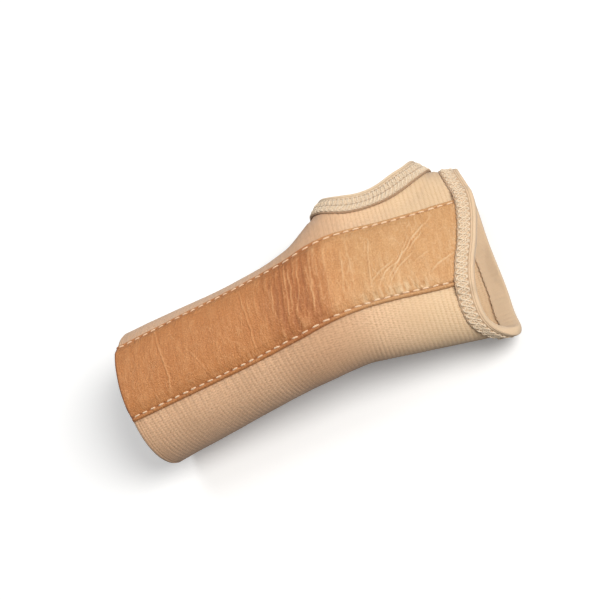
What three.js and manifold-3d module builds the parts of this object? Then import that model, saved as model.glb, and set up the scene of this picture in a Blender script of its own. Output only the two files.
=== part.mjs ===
// Slip-on wrist splint for the left hand, palm side up: a ribbed elastic sleeve with a thumb hole,
// bound edges, and a leatherette pocket along the palm side that holds a pre-bent aluminium stay.
// Millimetres, +Z up. +X runs from the forearm to the fingers, +Y is the thumb side and +Z the
// palm side. The splint rests on its two ends, back side down, with the bend clear of the ground.
//
// Surfaces are addressed by station (distance along the middle line from the forearm edge), angle
// around the section (0 at the thumb side, 90 degrees at the palm) and offset outward.
import * as THREE from "three";
import { mergeVertices } from "three/addons/utils/BufferGeometryUtils.js";
import Module from "manifold-3d";

const wasm = await Module();
wasm.setup();

const DEGREE = Math.PI / 180;
const TURN = 2 * Math.PI;
const PALM = Math.PI / 2;

// ------------------------------------------------------------------ driving dimensions
const WRIST_EXTENSION = 0.305; // angle between the forearm and the hand, radians
const BEND_CENTRE = 99; // station of the wrist crease
const BEND_LENGTH = 43; // length over which the middle line turns
const PITCH = 5.35 * DEGREE; // rise of the forearm half when both ends rest on the ground
// centre of the footprint and the ground plane, in the pitched middle line's frame
const ORIGIN = { x: 90.72, y: 8.49, z: -25.9 };
const FOREARM_REST_END = 40; // the ground flattens the splint before this station
const HAND_REST_START = 140; // and after this one
const SECTION_POWER = 2.15; // superellipse power of the sleeve's cross-section

// Outer surface of the sleeve and edges of the pocket panel. Columns: station; half width to the
// thumb side and to the little finger side; depth to the palm and to the back; shift to the thumb
// side; panel edge on the thumb side and on the little finger side, as distance around the surface
// from the palm's middle line.
const SECTIONS = [
  [0, 35.6, 35.9, 26.9, 26.9, -0.6, 20.1, 23.2],
  [20, 34.5, 35.3, 25.9, 25.8, -0.5, 20.4, 23.3],
  [40, 33.3, 34.7, 24.9, 24.5, -0.5, 21.0, 23.3],
  [60, 32.1, 34.2, 24.0, 22.7, -0.4, 21.0, 23.4],
  [78, 32.7, 34.6, 23.1, 21.1, -0.3, 21.0, 23.1],
  [92, 35.6, 35.1, 22.4, 20.1, -0.2, 21.8, 22.4],
  [102, 42.0, 35.2, 21.9, 19.6, 0.4, 23.6, 21.4],
  [112, 49.0, 35.3, 21.4, 19.1, 0.8, 24.4, 20.6],
  [122, 53.0, 36.3, 20.9, 18.7, 0.7, 24.0, 20.2],
  [134, 55.5, 37.9, 20.3, 18.2, 0.6, 22.9, 20.6],
  [146, 56.5, 39.3, 19.7, 17.9, 0.5, 22.6, 21.5],
  [156, 54.0, 40.4, 19.2, 17.6, 0.3, 22.8, 22.0],
  [166, 50.5, 41.6, 18.7, 17.4, 0.2, 23.2, 22.2],
  [178, 47.8, 43.0, 18.2, 17.3, -0.1, 23.2, 22.2],
  [200, 46.0, 44.5, 17.6, 17.2, -0.6, 23.2, 22.2],
];
// swell of the sleeve around the base of the thumb and the web: height, station, spread
const SWELL = [
  [8.35, 123.9, 12.86],
  [12.0, 149.25, 13.12],
];
// the swell around the section, in degrees: its middle, spreads, and where it fades at the palm
const SWELL_AROUND = { middle: -9.6, palmSpread: 60, backSpread: 36, fadeStart: 38, fadeLength: 26 };
// station of the finger edge as a Fourier series around the section
const FINGER_EDGE = {
  mean: 178.75,
  cos: [3.09, -0.753, -1.456, 0.25, 0.163, -0.086],
  sin: [-4.749, 3.468, -1.705, -0.118, -0.276, 0.417],
};
// superellipse: middle station and half length; middle angle and half angles to the palm and back
const THUMB_HOLE = { station: 136.1, halfLength: 22.9, angle: -12.4, palm: 55, back: 42, power: 2.97 };

const SLEEVE_WALL = 1.6;
const PANEL_WALL = 1.0;
const LINING_WALL = 0.7;
const GAP = 0.3; // clearance between layers that lie on each other
const POCKET_CROWN = 1.6; // how far the panel stands up over the stay
const LINING_CROWN = 0.8; // how far the lining sags under the stay
const SLOT_OVERLAP = 4.6; // sleeve under each edge of the panel
const HAND_BINDING_WIDTH = 8.7; // across the tape
const THUMB_BINDING_WIDTH = 8.4;
const BINDING_WALL = 1.15;
const BINDING_OVER = GAP + BINDING_WALL; // outer face of a binding, above the sleeve

// ------------------------------------------------------------------ finishes
const ELASTIC = { color: 0xe0bb8c, roughness: 0.85 };
const BINDING = { color: 0xe8d5b5, roughness: 0.9 };
const LEATHERETTE = { color: 0xc98a58, roughness: 0.5 };
const LINING = { color: 0xd8c3a0, roughness: 0.9 };
const STITCHING = { color: 0xf0d9b8, roughness: 0.7 };
const ALUMINIUM = { color: 0xb9bcc0, roughness: 0.35, metalness: 1 };
const VINYL = { color: 0xe9e4d8, roughness: 0.45 };
const LABEL = { color: 0xf4f2ec, roughness: 0.8 };

// ------------------------------------------------------------------ surface of the sleeve
function smooth(value) {
  const share = Math.min(1, Math.max(0, value));
  return share * share * (3 - 2 * share);
}
const signedPower = (value, power) => Math.sign(value) * Math.abs(value) ** power;

// monotone cubic through one column of SECTIONS, straight beyond its ends
function profile(column) {
  const xs = SECTIONS.map((row) => row[0]);
  const ys = SECTIONS.map((row) => row[column]);
  const last = xs.length - 1;
  const spans = [];
  const chords = [];
  for (let i = 0; i < last; i++) {
    spans.push(xs[i + 1] - xs[i]);
    chords.push((ys[i + 1] - ys[i]) / spans[i]);
  }
  const slopes = [chords[0]];
  for (let i = 1; i < last; i++) {
    const before = 2 * spans[i] + spans[i - 1];
    const after = spans[i] + 2 * spans[i - 1];
    const turns = chords[i - 1] * chords[i] <= 0;
    slopes[i] = turns ? 0 : (before + after) / (before / chords[i - 1] + after / chords[i]);
  }
  slopes[last] = chords[last - 1];
  return (x) => {
    if (x <= xs[0]) return ys[0] + slopes[0] * (x - xs[0]);
    if (x >= xs[last]) return ys[last] + slopes[last] * (x - xs[last]);
    let k = 0;
    while (x > xs[k + 1]) k++;
    const part = (x - xs[k]) / spans[k];
    const rest = 1 - part;
    return (
      (1 + 2 * part) * rest ** 2 * ys[k] +
      part * rest ** 2 * spans[k] * slopes[k] +
      part * part * (3 - 2 * part) * ys[k + 1] -
      part * part * rest * spans[k] * slopes[k + 1]
    );
  };
}
const [widthThumb, widthLittle, depthPalm, depthBack, sideShift, edgeThumb, edgeLittle] =
  [1, 2, 3, 4, 5, 6, 7].map(profile);
// distance of the panel's edge from the palm's middle line; side is positive towards the thumb
const panelEdge = (station, side) => (side > 0 ? edgeThumb(station) : edgeLittle(station));

// middle line, integrated in small steps: x, z and direction
const LINE_START = -20;
const LINE_STEPS = 2500;
const STEPS_PER_MM = 10;
const middleLine = [];
{
  let x = LINE_START;
  let z = 0;
  let last = 0;
  for (let i = 0; i <= LINE_STEPS; i++) {
    const station = LINE_START + i / STEPS_PER_MM;
    const bendStart = BEND_CENTRE - BEND_LENGTH / 2;
    const direction = -WRIST_EXTENSION * smooth((station - bendStart) / BEND_LENGTH);
    if (i) {
      x += (Math.cos(direction) + Math.cos(last)) / 2 / STEPS_PER_MM;
      z += (Math.sin(direction) + Math.sin(last)) / 2 / STEPS_PER_MM;
    }
    middleLine.push([x, z, direction]);
    last = direction;
  }
}
function middle(station) {
  const place = Math.min(LINE_STEPS - 0.001, Math.max(0, (station - LINE_START) * STEPS_PER_MM));
  const i = Math.floor(place);
  const part = place - i;
  return middleLine[i].map((value, k) => value * (1 - part) + middleLine[i + 1][k] * part);
}

// superelliptical surface without the swell, in the middle line's frame
function bare(station, angle) {
  const across = signedPower(Math.cos(angle), 2 / SECTION_POWER);
  const up = signedPower(Math.sin(angle), 2 / SECTION_POWER);
  const width = across > 0 ? widthThumb(station) : widthLittle(station);
  const height = (up > 0 ? depthPalm(station) : depthBack(station)) * up;
  const [x, z, direction] = middle(station);
  return new THREE.Vector3(
    x - height * Math.sin(direction),
    sideShift(station) + width * across,
    z + height * Math.cos(direction),
  );
}
// derivatives of the bare surface along and around the sleeve, and its outward normal
function surfaceFrame(station, angle) {
  const along = bare(station + 0.1, angle).sub(bare(station - 0.1, angle)).multiplyScalar(5);
  const around = bare(station, angle + 0.02).sub(bare(station, angle - 0.02)).multiplyScalar(25);
  const normal = new THREE.Vector3().crossVectors(around, along).normalize();
  return { along, around, normal };
}
function swell(station, angle) {
  const { middle: centre, palmSpread, backSpread, fadeStart, fadeLength } = SWELL_AROUND;
  const degrees = ((((angle / DEGREE + 180) % 360) + 360) % 360) - 180;
  const spread = degrees > centre ? palmSpread : backSpread;
  const fade = 1 - smooth((degrees - fadeStart) / fadeLength);
  const share = Math.exp(-(((degrees - centre) / spread) ** 2)) * fade;
  const bump = (sum, [height, at, width]) =>
    sum + height * Math.exp(-(((station - at) / width) ** 2));
  return share * SWELL.reduce(bump, 0);
}
// Point of a layer at an offset from the sleeve's outer surface, in the splint's frame.
// `over` is the offset of the layer that touches the ground there; the others stack above it.
function skin(station, angle, offset = 0, over = 0) {
  const { normal } = surfaceFrame(station, angle);
  const point = bare(station, angle).addScaledVector(normal, swell(station, angle) + offset);
  const x = point.x * Math.cos(PITCH) - point.z * Math.sin(PITCH);
  const z = point.x * Math.sin(PITCH) + point.z * Math.cos(PITCH);
  const rests = station < FOREARM_REST_END || station > HAND_REST_START;
  const floor = rests ? over - offset : -Infinity;
  return new THREE.Vector3(x - ORIGIN.x, point.y - ORIGIN.y, Math.max(z - ORIGIN.z, floor));
}

// angle at a distance around the surface from the palm's middle line, thumb side positive
const arcTables = new Map(); // arc lengths at each degree, by station in hundredths
function arcTable(station, sign) {
  const list = [0];
  let last = skin(station, PALM);
  for (let k = 1; k <= 100; k++) {
    const point = skin(station, PALM - sign * k * DEGREE);
    list.push(list[k - 1] + point.distanceTo(last));
    last = point;
  }
  return list;
}
function angleAt(station, arc) {
  const key = Math.round(station * 100);
  if (!arcTables.has(key)) arcTables.set(key, [arcTable(station, 1), arcTable(station, -1)]);
  const sign = arc >= 0 ? 1 : -1;
  const list = arcTables.get(key)[arc >= 0 ? 0 : 1];
  const distance = Math.abs(arc);
  let k = 0;
  while (k < 99 && distance > list[k + 1]) k++;
  return PALM - sign * (k + (distance - list[k]) / (list[k + 1] - list[k])) * DEGREE;
}
function fingerEdge(angle) {
  const { mean, cos, sin } = FINGER_EDGE;
  const term = (sum, factor, k) =>
    sum + factor * Math.cos((k + 1) * angle) + sin[k] * Math.sin((k + 1) * angle);
  return cos.reduce(term, mean);
}
// the two halves are parted at the wrist by a wedge, narrow at the palm and wide at the back
function halfGap(angle) {
  const below = skin(BEND_CENTRE, PALM).z - skin(BEND_CENTRE, angle).z;
  return 0.8 + 0.085 * Math.max(0, below);
}

// ------------------------------------------------------------------ solids from grids
function solidFrom(points, faces) {
  const positions = new Float32Array(points.flatMap((point) => [point.x, point.y, point.z]));
  const geometry = new THREE.BufferGeometry();
  geometry.setAttribute("position", new THREE.BufferAttribute(positions, 3));
  geometry.setIndex(faces.flat());
  const merged = mergeVertices(geometry, 1e-4);
  const index = [];
  for (let i = 0; i < merged.index.count; i += 3) {
    const corners = [0, 1, 2].map((k) => merged.index.getX(i + k));
    if (new Set(corners).size === 3) index.push(...corners);
  }
  const make = () => new wasm.Manifold(new wasm.Mesh({
    numProp: 3,
    vertProperties: new Float32Array(merged.attributes.position.array),
    triVerts: new Uint32Array(index),
  }));
  const solid = make();
  if (solid.volume() > 0) return solid;
  // the faces wind inward: turn them over
  for (let i = 0; i < index.length; i += 3) {
    [index[i + 1], index[i + 2]] = [index[i + 2], index[i + 1]];
  }
  return make();
}
// A wall between the grids point(i, j, offset) at two offsets, closed around its rim.
// `round` joins the last column to the first.
function wall(rows, cols, point, outer, inner, round = false) {
  const points = [];
  const faces = [];
  for (const offset of [outer, inner]) {
    for (let i = 0; i < rows; i++) {
      for (let j = 0; j < cols; j++) points.push(point(i, j, offset));
    }
  }
  const quad = (...corners) => {
    const [first, second, third, fourth] = corners.map(
      ([layer, i, j]) => layer * rows * cols + i * cols + (j % cols),
    );
    faces.push([first, second, third], [first, third, fourth]);
  };
  const end = rows - 1;
  const side = cols - 1;
  const spans = round ? cols : side;
  for (let i = 0; i < end; i++) {
    for (let j = 0; j < spans; j++) {
      quad([0, i, j], [0, i + 1, j], [0, i + 1, j + 1], [0, i, j + 1]);
      quad([1, i, j], [1, i, j + 1], [1, i + 1, j + 1], [1, i + 1, j]);
    }
  }
  for (let j = 0; j < spans; j++) {
    quad([0, 0, j], [0, 0, j + 1], [1, 0, j + 1], [1, 0, j]);
    quad([0, end, j + 1], [0, end, j], [1, end, j], [1, end, j + 1]);
  }
  for (let i = 0; i < end && !round; i++) {
    quad([0, i + 1, 0], [0, i, 0], [1, i, 0], [1, i + 1, 0]);
    quad([0, i, side], [0, i + 1, side], [1, i + 1, side], [1, i, side]);
  }
  return solidFrom(points, faces);
}
// a closed section carried around a closed loop, or along an open run with two flat ends
function sweep(count, sides, point, closed = true) {
  const points = [];
  const faces = [];
  for (let i = 0; i < count; i++) {
    for (let j = 0; j < sides; j++) points.push(point(i, j));
  }
  const at = (i, j) => (i % count) * sides + (j % sides);
  for (let i = 0; i < (closed ? count : count - 1); i++) {
    for (let j = 0; j < sides; j++) {
      faces.push([at(i, j), at(i + 1, j), at(i + 1, j + 1)]);
      faces.push([at(i, j), at(i + 1, j + 1), at(i, j + 1)]);
    }
  }
  for (let j = 1; j < sides - 1 && !closed; j++) {
    faces.push([at(0, 0), at(0, j), at(0, j + 1)]);
    faces.push([at(count - 1, 0), at(count - 1, j + 1), at(count - 1, j)]);
  }
  return solidFrom(points, faces);
}

const splint = new THREE.Group();
const forearm = new THREE.Group();
const hand = new THREE.Group();
const stay = new THREE.Group();
splint.add(forearm, hand, stay);

function add(parent, name, solid, finish) {
  const { vertProperties, triVerts } = solid.getMesh();
  const indexed = new THREE.BufferGeometry();
  indexed.setAttribute("position", new THREE.BufferAttribute(new Float32Array(vertProperties), 3));
  indexed.setIndex(new THREE.BufferAttribute(new Uint32Array(triVerts), 1));
  const flat = indexed.toNonIndexed();
  flat.computeVertexNormals();
  const mesh = new THREE.Mesh(flat, new THREE.MeshStandardMaterial(finish));
  mesh.name = name;
  parent.add(mesh);
}

// ------------------------------------------------------------------ thumb hole
// edge of the hole as a loop of [station, angle]
const HOLE_POINTS = 44;
const holeEdge = Array.from({ length: HOLE_POINTS }, (_, i) => {
  const { station, halfLength, angle, palm, back, power } = THUMB_HOLE;
  const turn = (TURN * i) / HOLE_POINTS;
  const around = signedPower(Math.sin(turn), 2 / power);
  return [
    station + halfLength * signedPower(Math.cos(turn), 2 / power),
    (angle + (around > 0 ? palm : back) * around) * DEGREE,
  ];
});
// the loop moved outward by a step, measured on the surface
function grown(loop, step) {
  const count = loop.length;
  const points = loop.map(([station, angle]) => bare(station, angle));
  const centre = new THREE.Vector3();
  points.forEach((point) => centre.addScaledVector(point, 1 / count));
  return loop.map(([station, angle], i) => {
    const { along, around, normal } = surfaceFrame(station, angle);
    const out = points[(i + 1) % count].clone().sub(points[(i + count - 1) % count]);
    out.normalize().cross(normal);
    if (out.dot(points[i].clone().sub(centre)) < 0) out.negate();
    // express the outward step in station and angle
    const alongSquared = along.dot(along);
    const mixed = along.dot(around);
    const aroundSquared = around.dot(around);
    const outAlong = along.dot(out);
    const outAround = around.dot(out);
    const determinant = alongSquared * aroundSquared - mixed * mixed;
    return [
      station + (step * (aroundSquared * outAlong - mixed * outAround)) / determinant,
      angle + (step * (alongSquared * outAround - mixed * outAlong)) / determinant,
    ];
  });
}
// plug that cuts the hole through the sleeve's wall: two capped faces of concentric rings
function holePlug() {
  const shares = [0.02, 0.35, 0.7, 1];
  const last = shares.length - 1;
  const offsets = [6, -7];
  const centre = [THUMB_HOLE.station, THUMB_HOLE.angle * DEGREE];
  const points = [];
  const faces = [];
  for (const offset of offsets) {
    for (const share of shares) {
      for (const edge of holeEdge) {
        const [station, angle] = centre.map((value, k) => value + (edge[k] - value) * share);
        points.push(skin(station, angle, offset));
      }
    }
  }
  const hubs = offsets.map((offset) => points.push(skin(...centre, offset)) - 1);
  const at = (side, ring, j) => (side * shares.length + ring) * HOLE_POINTS + (j % HOLE_POINTS);
  for (let j = 0; j < HOLE_POINTS; j++) {
    for (const side of [0, 1]) {
      const face = (first, second, third) =>
        faces.push(side ? [first, third, second] : [first, second, third]);
      face(hubs[side], at(side, 0, j), at(side, 0, j + 1));
      for (let k = 0; k < last; k++) {
        face(at(side, k, j), at(side, k + 1, j), at(side, k + 1, j + 1));
        face(at(side, k, j), at(side, k + 1, j + 1), at(side, k, j + 1));
      }
    }
    faces.push([at(0, last, j), at(1, last, j), at(1, last, j + 1)]);
    faces.push([at(0, last, j), at(1, last, j + 1), at(0, last, j + 1)]);
  }
  return solidFrom(points, faces);
}

// ------------------------------------------------------------------ elastic sleeve
// plug for the slot under the panel, where the pocket opens into the sleeve's wall
function slotPlug(from, to, rows) {
  const cols = 7;
  const point = (i, j, offset) => {
    const station = from + ((to - from) * i) / (rows - 1);
    const low = SLOT_OVERLAP - edgeLittle(station);
    const high = edgeThumb(station) - SLOT_OVERLAP;
    return skin(station, angleAt(station, low + ((high - low) * j) / (cols - 1)), offset);
  };
  return wall(rows, cols, point, 4, -4.5);
}

function sleeveForearm() {
  // stations of the rows where there is no gap at the wrist
  const rows = [0, 3, 7, 14, 26, 40, 54, 68, 80, 90, BEND_CENTRE];
  const cols = 38;
  const point = (i, j, offset) => {
    const angle = ((j * 360) / cols + 270) * DEGREE;
    return skin((rows[i] * (BEND_CENTRE - halfGap(angle))) / BEND_CENTRE, angle, offset);
  };
  return wall(rows.length, cols, point, 0, -SLEEVE_WALL, true)
    .subtract(slotPlug(-4, BEND_CENTRE + 3, 9));
}
add(forearm, "sleeve_forearm", sleeveForearm(), ELASTIC);

function sleeveHand() {
  const rows = 21;
  // columns in degrees, closer together around the thumb
  const columns = [];
  for (let a = 0; a < 360; a += a < 72 || a >= 283 ? 5.5 : 9.25) columns.push(a);
  const point = (i, j, offset) => {
    const angle = columns[j] * DEGREE;
    const from = BEND_CENTRE + halfGap(angle);
    const station = from + ((fingerEdge(angle) - from) * i) / (rows - 1);
    return skin(station, angle, offset, BINDING_OVER);
  };
  return wall(rows, columns.length, point, 0, -SLEEVE_WALL, true)
    .subtract(slotPlug(BEND_CENTRE - 3, 157.5, 7))
    .subtract(holePlug());
}
add(hand, "sleeve_hand", sleeveHand(), ELASTIC);

// ------------------------------------------------------------------ pocket
// share of the full crown at a place across the panel (-1 to 1) and along it
const crown = (station, across) => (1 - across ** 4) * (1 - smooth((station - 146) / 15));
const CUT_STATION = 120; // the layers' ends are cut at the angles their columns have here

// panel over the stay and lining under it; the inset is from the panel's edges, the end inset
// from the finger edge, and a negative crown sags inward
const PANEL_LAYER = {
  cols: 11, inset: 0, offset: GAP, crownHeight: POCKET_CROWN, thickness: PANEL_WALL, endInset: 0.8,
};
const LINING_LAYER = {
  cols: 9,
  inset: 0.8,
  offset: -SLEEVE_WALL - GAP - LINING_WALL,
  crownHeight: -LINING_CROWN,
  thickness: LINING_WALL,
  endInset: HAND_BINDING_WIDTH + 1.2,
};
function pocketLayer(parent, rows, layer) {
  const { cols, inset, offset: base, crownHeight, thickness, endInset } = layer;
  const point = (i, j, offset) => {
    const across = -1 + (2 * j) / (cols - 1);
    const cutAngle = angleAt(CUT_STATION, across * panelEdge(CUT_STATION, across));
    const gap = halfGap(cutAngle);
    const [from, to] = parent === forearm
      ? [0, BEND_CENTRE - gap]
      : [BEND_CENTRE + gap, fingerEdge(cutAngle) - endInset];
    const station = from + (to - from) * (i / (rows - 1));
    const angle = angleAt(station, across * (panelEdge(station, across) - inset));
    return skin(station, angle, offset + crownHeight * crown(station, across));
  };
  return wall(rows, cols, point, base + thickness, base);
}
add(forearm, "pocket_panel_forearm", pocketLayer(forearm, 9, PANEL_LAYER), LEATHERETTE);
add(hand, "pocket_panel_hand", pocketLayer(hand, 11, PANEL_LAYER), LEATHERETTE);
add(forearm, "pocket_lining_forearm", pocketLayer(forearm, 8, LINING_LAYER), LINING);
add(hand, "pocket_lining_hand", pocketLayer(hand, 8, LINING_LAYER), LINING);

// ------------------------------------------------------------------ topstitching
const THREAD = 0.5;
const THREAD_HALF_WIDTH = 0.45;
const THREAD_LIFT = 0.25; // clearance under a thread
const STITCH_INSET = 2.4; // topstitching inside the panel's edge
// section of a thread: place across it and height
const THREAD_SECTION = [
  [-THREAD_HALF_WIDTH, 0],
  [THREAD_HALF_WIDTH, 0],
  [THREAD_HALF_WIDTH, THREAD],
  [-THREAD_HALF_WIDTH, THREAD],
];
// one thread along one edge of the panel; side is 1 for the thumb, -1 for the little finger
function topstitch(parent, side) {
  const count = 11;
  const [from, to] = parent === forearm
    ? [3, BEND_CENTRE - 1.5]
    : [BEND_CENTRE + 1.5, fingerEdge(angleAt(166, side * 20)) - HAND_BINDING_WIDTH - 1.4];
  const point = (i, j) => {
    const [across, height] = THREAD_SECTION[j];
    const station = from + ((to - from) * i) / (count - 1);
    const edge = panelEdge(station, side);
    const arc = edge - STITCH_INSET + across;
    const base = GAP + PANEL_WALL + POCKET_CROWN * crown(station, arc / edge) + THREAD_LIFT;
    return skin(station, angleAt(station, side * arc), base + height);
  };
  return sweep(count, THREAD_SECTION.length, point, false);
}
for (const [parent, half] of [[forearm, "forearm"], [hand, "hand"]]) {
  add(parent, `topstitch_thumb_side_${half}`, topstitch(parent, 1), STITCHING);
  add(parent, `topstitch_little_finger_side_${half}`, topstitch(parent, -1), STITCHING);
}

// ------------------------------------------------------------------ bindings
const SLEEVE_MIDDLE = -SLEEVE_WALL / 2;
// section of a tape folded over an edge: distance from the edge into the sleeve, and offset;
// the slack holds the legs further off the sleeve
function tape(width, slack = 0) {
  const outer = GAP;
  const inner = -SLEEVE_WALL - GAP;
  const thick = BINDING_WALL;
  const third = width / 3;
  const twoThirds = (2 * width) / 3;
  return [
    [width, outer + slack], [width, outer + 0.7 * thick + slack],
    [twoThirds, outer + thick], [third, outer + thick], [0.4, outer + thick],
    [-0.9, outer + 0.4 * thick], [-1.35, SLEEVE_MIDDLE], [-0.9, inner - 0.4 * thick],
    [0.4, inner - thick], [third, inner - thick], [twoThirds, inner - thick],
    [width, inner - 0.7 * thick - slack], [width, inner - slack],
    [twoThirds, inner - slack], [third, inner - slack], [-0.3, inner - slack],
    [-0.3, outer + slack], [third, outer + slack], [twoThirds, outer + slack],
  ];
}

// lift of the hand binding where it climbs over the panel's end
const PANEL_LIFT = PANEL_WALL + GAP + 0.05;
const CLIMB = { margin: 0.035, length: 0.09 }; // beyond the panel's edge, radians
function panelLift(station, angle) {
  const fromPalm = PALM - (angle > TURN ? angle - TURN : angle);
  const edgeAngle = (side) =>
    PALM - angleAt(Math.min(station, 178), side * panelEdge(station, side));
  const beyondThumb = fromPalm - edgeAngle(1) - CLIMB.margin;
  const beyondLittle = edgeAngle(-1) - CLIMB.margin - fromPalm;
  const share = (1 - smooth(beyondThumb / CLIMB.length)) * (1 - smooth(beyondLittle / CLIMB.length));
  return PANEL_LIFT * share;
}
// loops around the finger edge start at the back
const loopAngle = (i, count) => (TURN * i) / count + 1.5 * Math.PI;

function handBinding() {
  const count = 54;
  const section = tape(HAND_BINDING_WIDTH);
  return sweep(count, section.length, (i, j) => {
    const angle = loopAngle(i, count);
    const [distance, offset] = section[j];
    const station = fingerEdge(angle) - distance;
    const lift = offset > SLEEVE_MIDDLE ? panelLift(station, angle) : 0;
    return skin(station, angle, offset + lift, BINDING_OVER);
  });
}
add(hand, "hand_binding", handBinding(), BINDING);

// the thumb tape stands off a little more where the web falls away steeply
const ease = (station) => 0.5 * smooth((station - 152) / 8) + 0.3 * smooth((120 - station) / 8);
// loops around the hole, by distance from its edge: thirds of the tape, and the fold's points
const holeRings = new Map();
{
  const step = THUMB_BINDING_WIDTH / 6;
  let loop = holeEdge;
  for (const k of [1, 2, 3]) {
    loop = grown(grown(loop, step), step);
    holeRings.set((k * THUMB_BINDING_WIDTH) / 3, loop);
  }
  for (const distance of [0.4, -0.3, -0.9, -1.35]) {
    holeRings.set(distance, grown(holeEdge, distance));
  }
}
function thumbBinding() {
  const section = tape(THUMB_BINDING_WIDTH, 0.12);
  return sweep(HOLE_POINTS, section.length, (i, j) => {
    const [distance, offset] = section[j];
    const [station, angle] = holeRings.get(distance)[i];
    return skin(station, angle, offset + Math.sign(offset - SLEEVE_MIDDLE) * ease(station));
  });
}
add(hand, "thumb_binding", thumbBinding(), BINDING);

// ------------------------------------------------------------------ coverstitch
// a zigzag thread on each tape's outer leg; the place is its middle, as a share of the tape
const COVERSTITCH_PLACE = 0.62;
function handCoverstitch() {
  const count = 84;
  const zigzag = 1.3;
  return sweep(count, THREAD_SECTION.length, (i, j) => {
    const [across, threadHeight] = THREAD_SECTION[j];
    const angle = loopAngle(i, count);
    const place = HAND_BINDING_WIDTH * COVERSTITCH_PLACE + (i % 2 ? zigzag : -zigzag);
    const station = fingerEdge(angle) - place + across;
    const rise = THREAD_LIFT + threadHeight;
    const offset = BINDING_OVER + rise + panelLift(station, angle);
    // where the ground flattens the thread, it keeps its rise above the ground
    return skin(station, angle, offset, offset + rise);
  });
}
add(hand, "hand_binding_coverstitch", handCoverstitch(), STITCHING);

function thumbCoverstitch() {
  const zigzag = 0.14; // share of the tape's width
  const lift = 0.3;
  const mix = (from, to, share) => from.map((value, k) => value + (to[k] - value) * share);
  return sweep(HOLE_POINTS * 2, THREAD_SECTION.length, (i, j) => {
    const [across, threadHeight] = THREAD_SECTION[j];
    const k = Math.floor(i / 2);
    // odd points lie halfway between two points of a ring
    const onRing = (thirds) => {
      const ring = holeRings.get((thirds * THUMB_BINDING_WIDTH) / 3);
      return i % 2 ? mix(ring[k], ring[(k + 1) % HOLE_POINTS], 0.5) : ring[k];
    };
    const place = COVERSTITCH_PLACE + (i % 2 ? zigzag : -zigzag) + across / THUMB_BINDING_WIDTH;
    const whole = Math.floor(3 * place);
    const [station, angle] = mix(onRing(whole), onRing(whole + 1), 3 * place - whole);
    return skin(station, angle, BINDING_OVER + lift + ease(station) + threadHeight);
  });
}
add(hand, "thumb_binding_coverstitch", thumbCoverstitch(), STITCHING);

// ------------------------------------------------------------------ stay
// one malleable bar, parted at its bend, with a dipped vinyl tip on each end
const STAY_WALL = 1.4;
const STAY_LEVEL = -0.5; // middle of the stay, from the sleeve's outer surface
const STAY_START = 7;
const STAY_END = 153;
const SHANK_HALF_WIDTH = 12;
const SPOON_HALF_WIDTH = 15;
const HINGE_GAP = 0.45; // from the bend to each part
const END_ROUND = { length: 9, narrowing: 0.55 };
const TIP_LENGTH = 9;
const TIP_WALL = 0.5;
const TIP_CLEARANCE = 0.3;

function stayHalfWidth(station) {
  return SHANK_HALF_WIDTH + (SPOON_HALF_WIDTH - SHANK_HALF_WIDTH) * smooth((station - 100) / 22);
}
// bar along the pocket with one rounded and one square end, larger than the stay by `spread`
function bar(roundEnd, squareEnd, rows, spread) {
  const cols = 7;
  const from = Math.min(roundEnd, squareEnd);
  const length = Math.abs(squareEnd - roundEnd);
  const point = (i, j, offset) => {
    // rows crowd towards the rounded end on the shank, towards the square end's side otherwise eased
    const turn = ((i / (rows - 1)) * Math.PI) / 2;
    const share = roundEnd < squareEnd ? 1 - Math.cos(turn) ** 0.8 : Math.sin(turn) ** 0.8;
    const station = from + length * share;
    const inside = Math.min(1, Math.abs(station - roundEnd) / END_ROUND.length);
    const arc = Math.sqrt(Math.max(0, 1 - (1 - inside) ** 2));
    const narrow = 1 - (1 - arc) * END_ROUND.narrowing;
    const half = (stayHalfWidth(station) + spread) * narrow;
    return skin(station, angleAt(station, half * (-1 + (2 * j) / (cols - 1))), offset);
  };
  const reach = STAY_WALL / 2 + spread;
  return wall(rows, cols, point, STAY_LEVEL + reach, STAY_LEVEL - reach);
}
add(stay, "stay_shank", bar(STAY_START, BEND_CENTRE - HINGE_GAP, 9, 0), ALUMINIUM);
add(stay, "stay_spoon", bar(STAY_END, BEND_CENTRE + HINGE_GAP, 10, 0), ALUMINIUM);

// cap with the bar's end in it; inward is the direction along +X from the end into the stay
function tip(end, inward) {
  const spread = TIP_CLEARANCE + TIP_WALL;
  const solid = bar(end - inward * spread, end + inward * TIP_LENGTH, 7, spread);
  const roomEnd = end + inward * (TIP_LENGTH + 8);
  return solid.subtract(bar(end - inward * TIP_CLEARANCE, roomEnd, 9, TIP_CLEARANCE));
}
add(stay, "stay_tip_forearm_end", tip(STAY_START, 1), VINYL);
add(stay, "stay_tip_palm_end", tip(STAY_END, -1), VINYL);

// ------------------------------------------------------------------ care label
// sewn inside the forearm end
function careLabel() {
  const point = (i, j, offset) => skin(5 + i * 5.5, (228 + j * 5) * DEGREE, offset);
  return wall(4, 5, point, -SLEEVE_WALL - 0.35, -SLEEVE_WALL - 0.75);
}
add(forearm, "care_label", careLabel(), LABEL);

export default splint;
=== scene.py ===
# A slip-on wrist splint: a ribbed elastic sleeve, a leatherette pocket panel over the palm side
# with a metal stay under it, and bound edges at the thumb hole and the finger end.
# The arm lies along X with the fingers towards +X, the thumb side at +Y and the palm facing +Z.
# Lengths are millimetres until a mesh is made. Places on the sleeve are given by:
#   along - distance along the arm's bent middle line from the forearm end
#   turn  - angle around the arm: 0 thumb side, 90 degrees palm, 180 little finger, 270 back
#   arc   - distance around the surface from the palm's middle line, thumb side positive
#   off   - height outside the sleeve's outer surface
from dataclasses import dataclass
from functools import cache

import bpy
import numpy as np
from mathutils import Matrix, Vector
from numpy import concatenate, cos, exp, linspace, maximum, minimum, pi, sin, sqrt, stack, where


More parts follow.
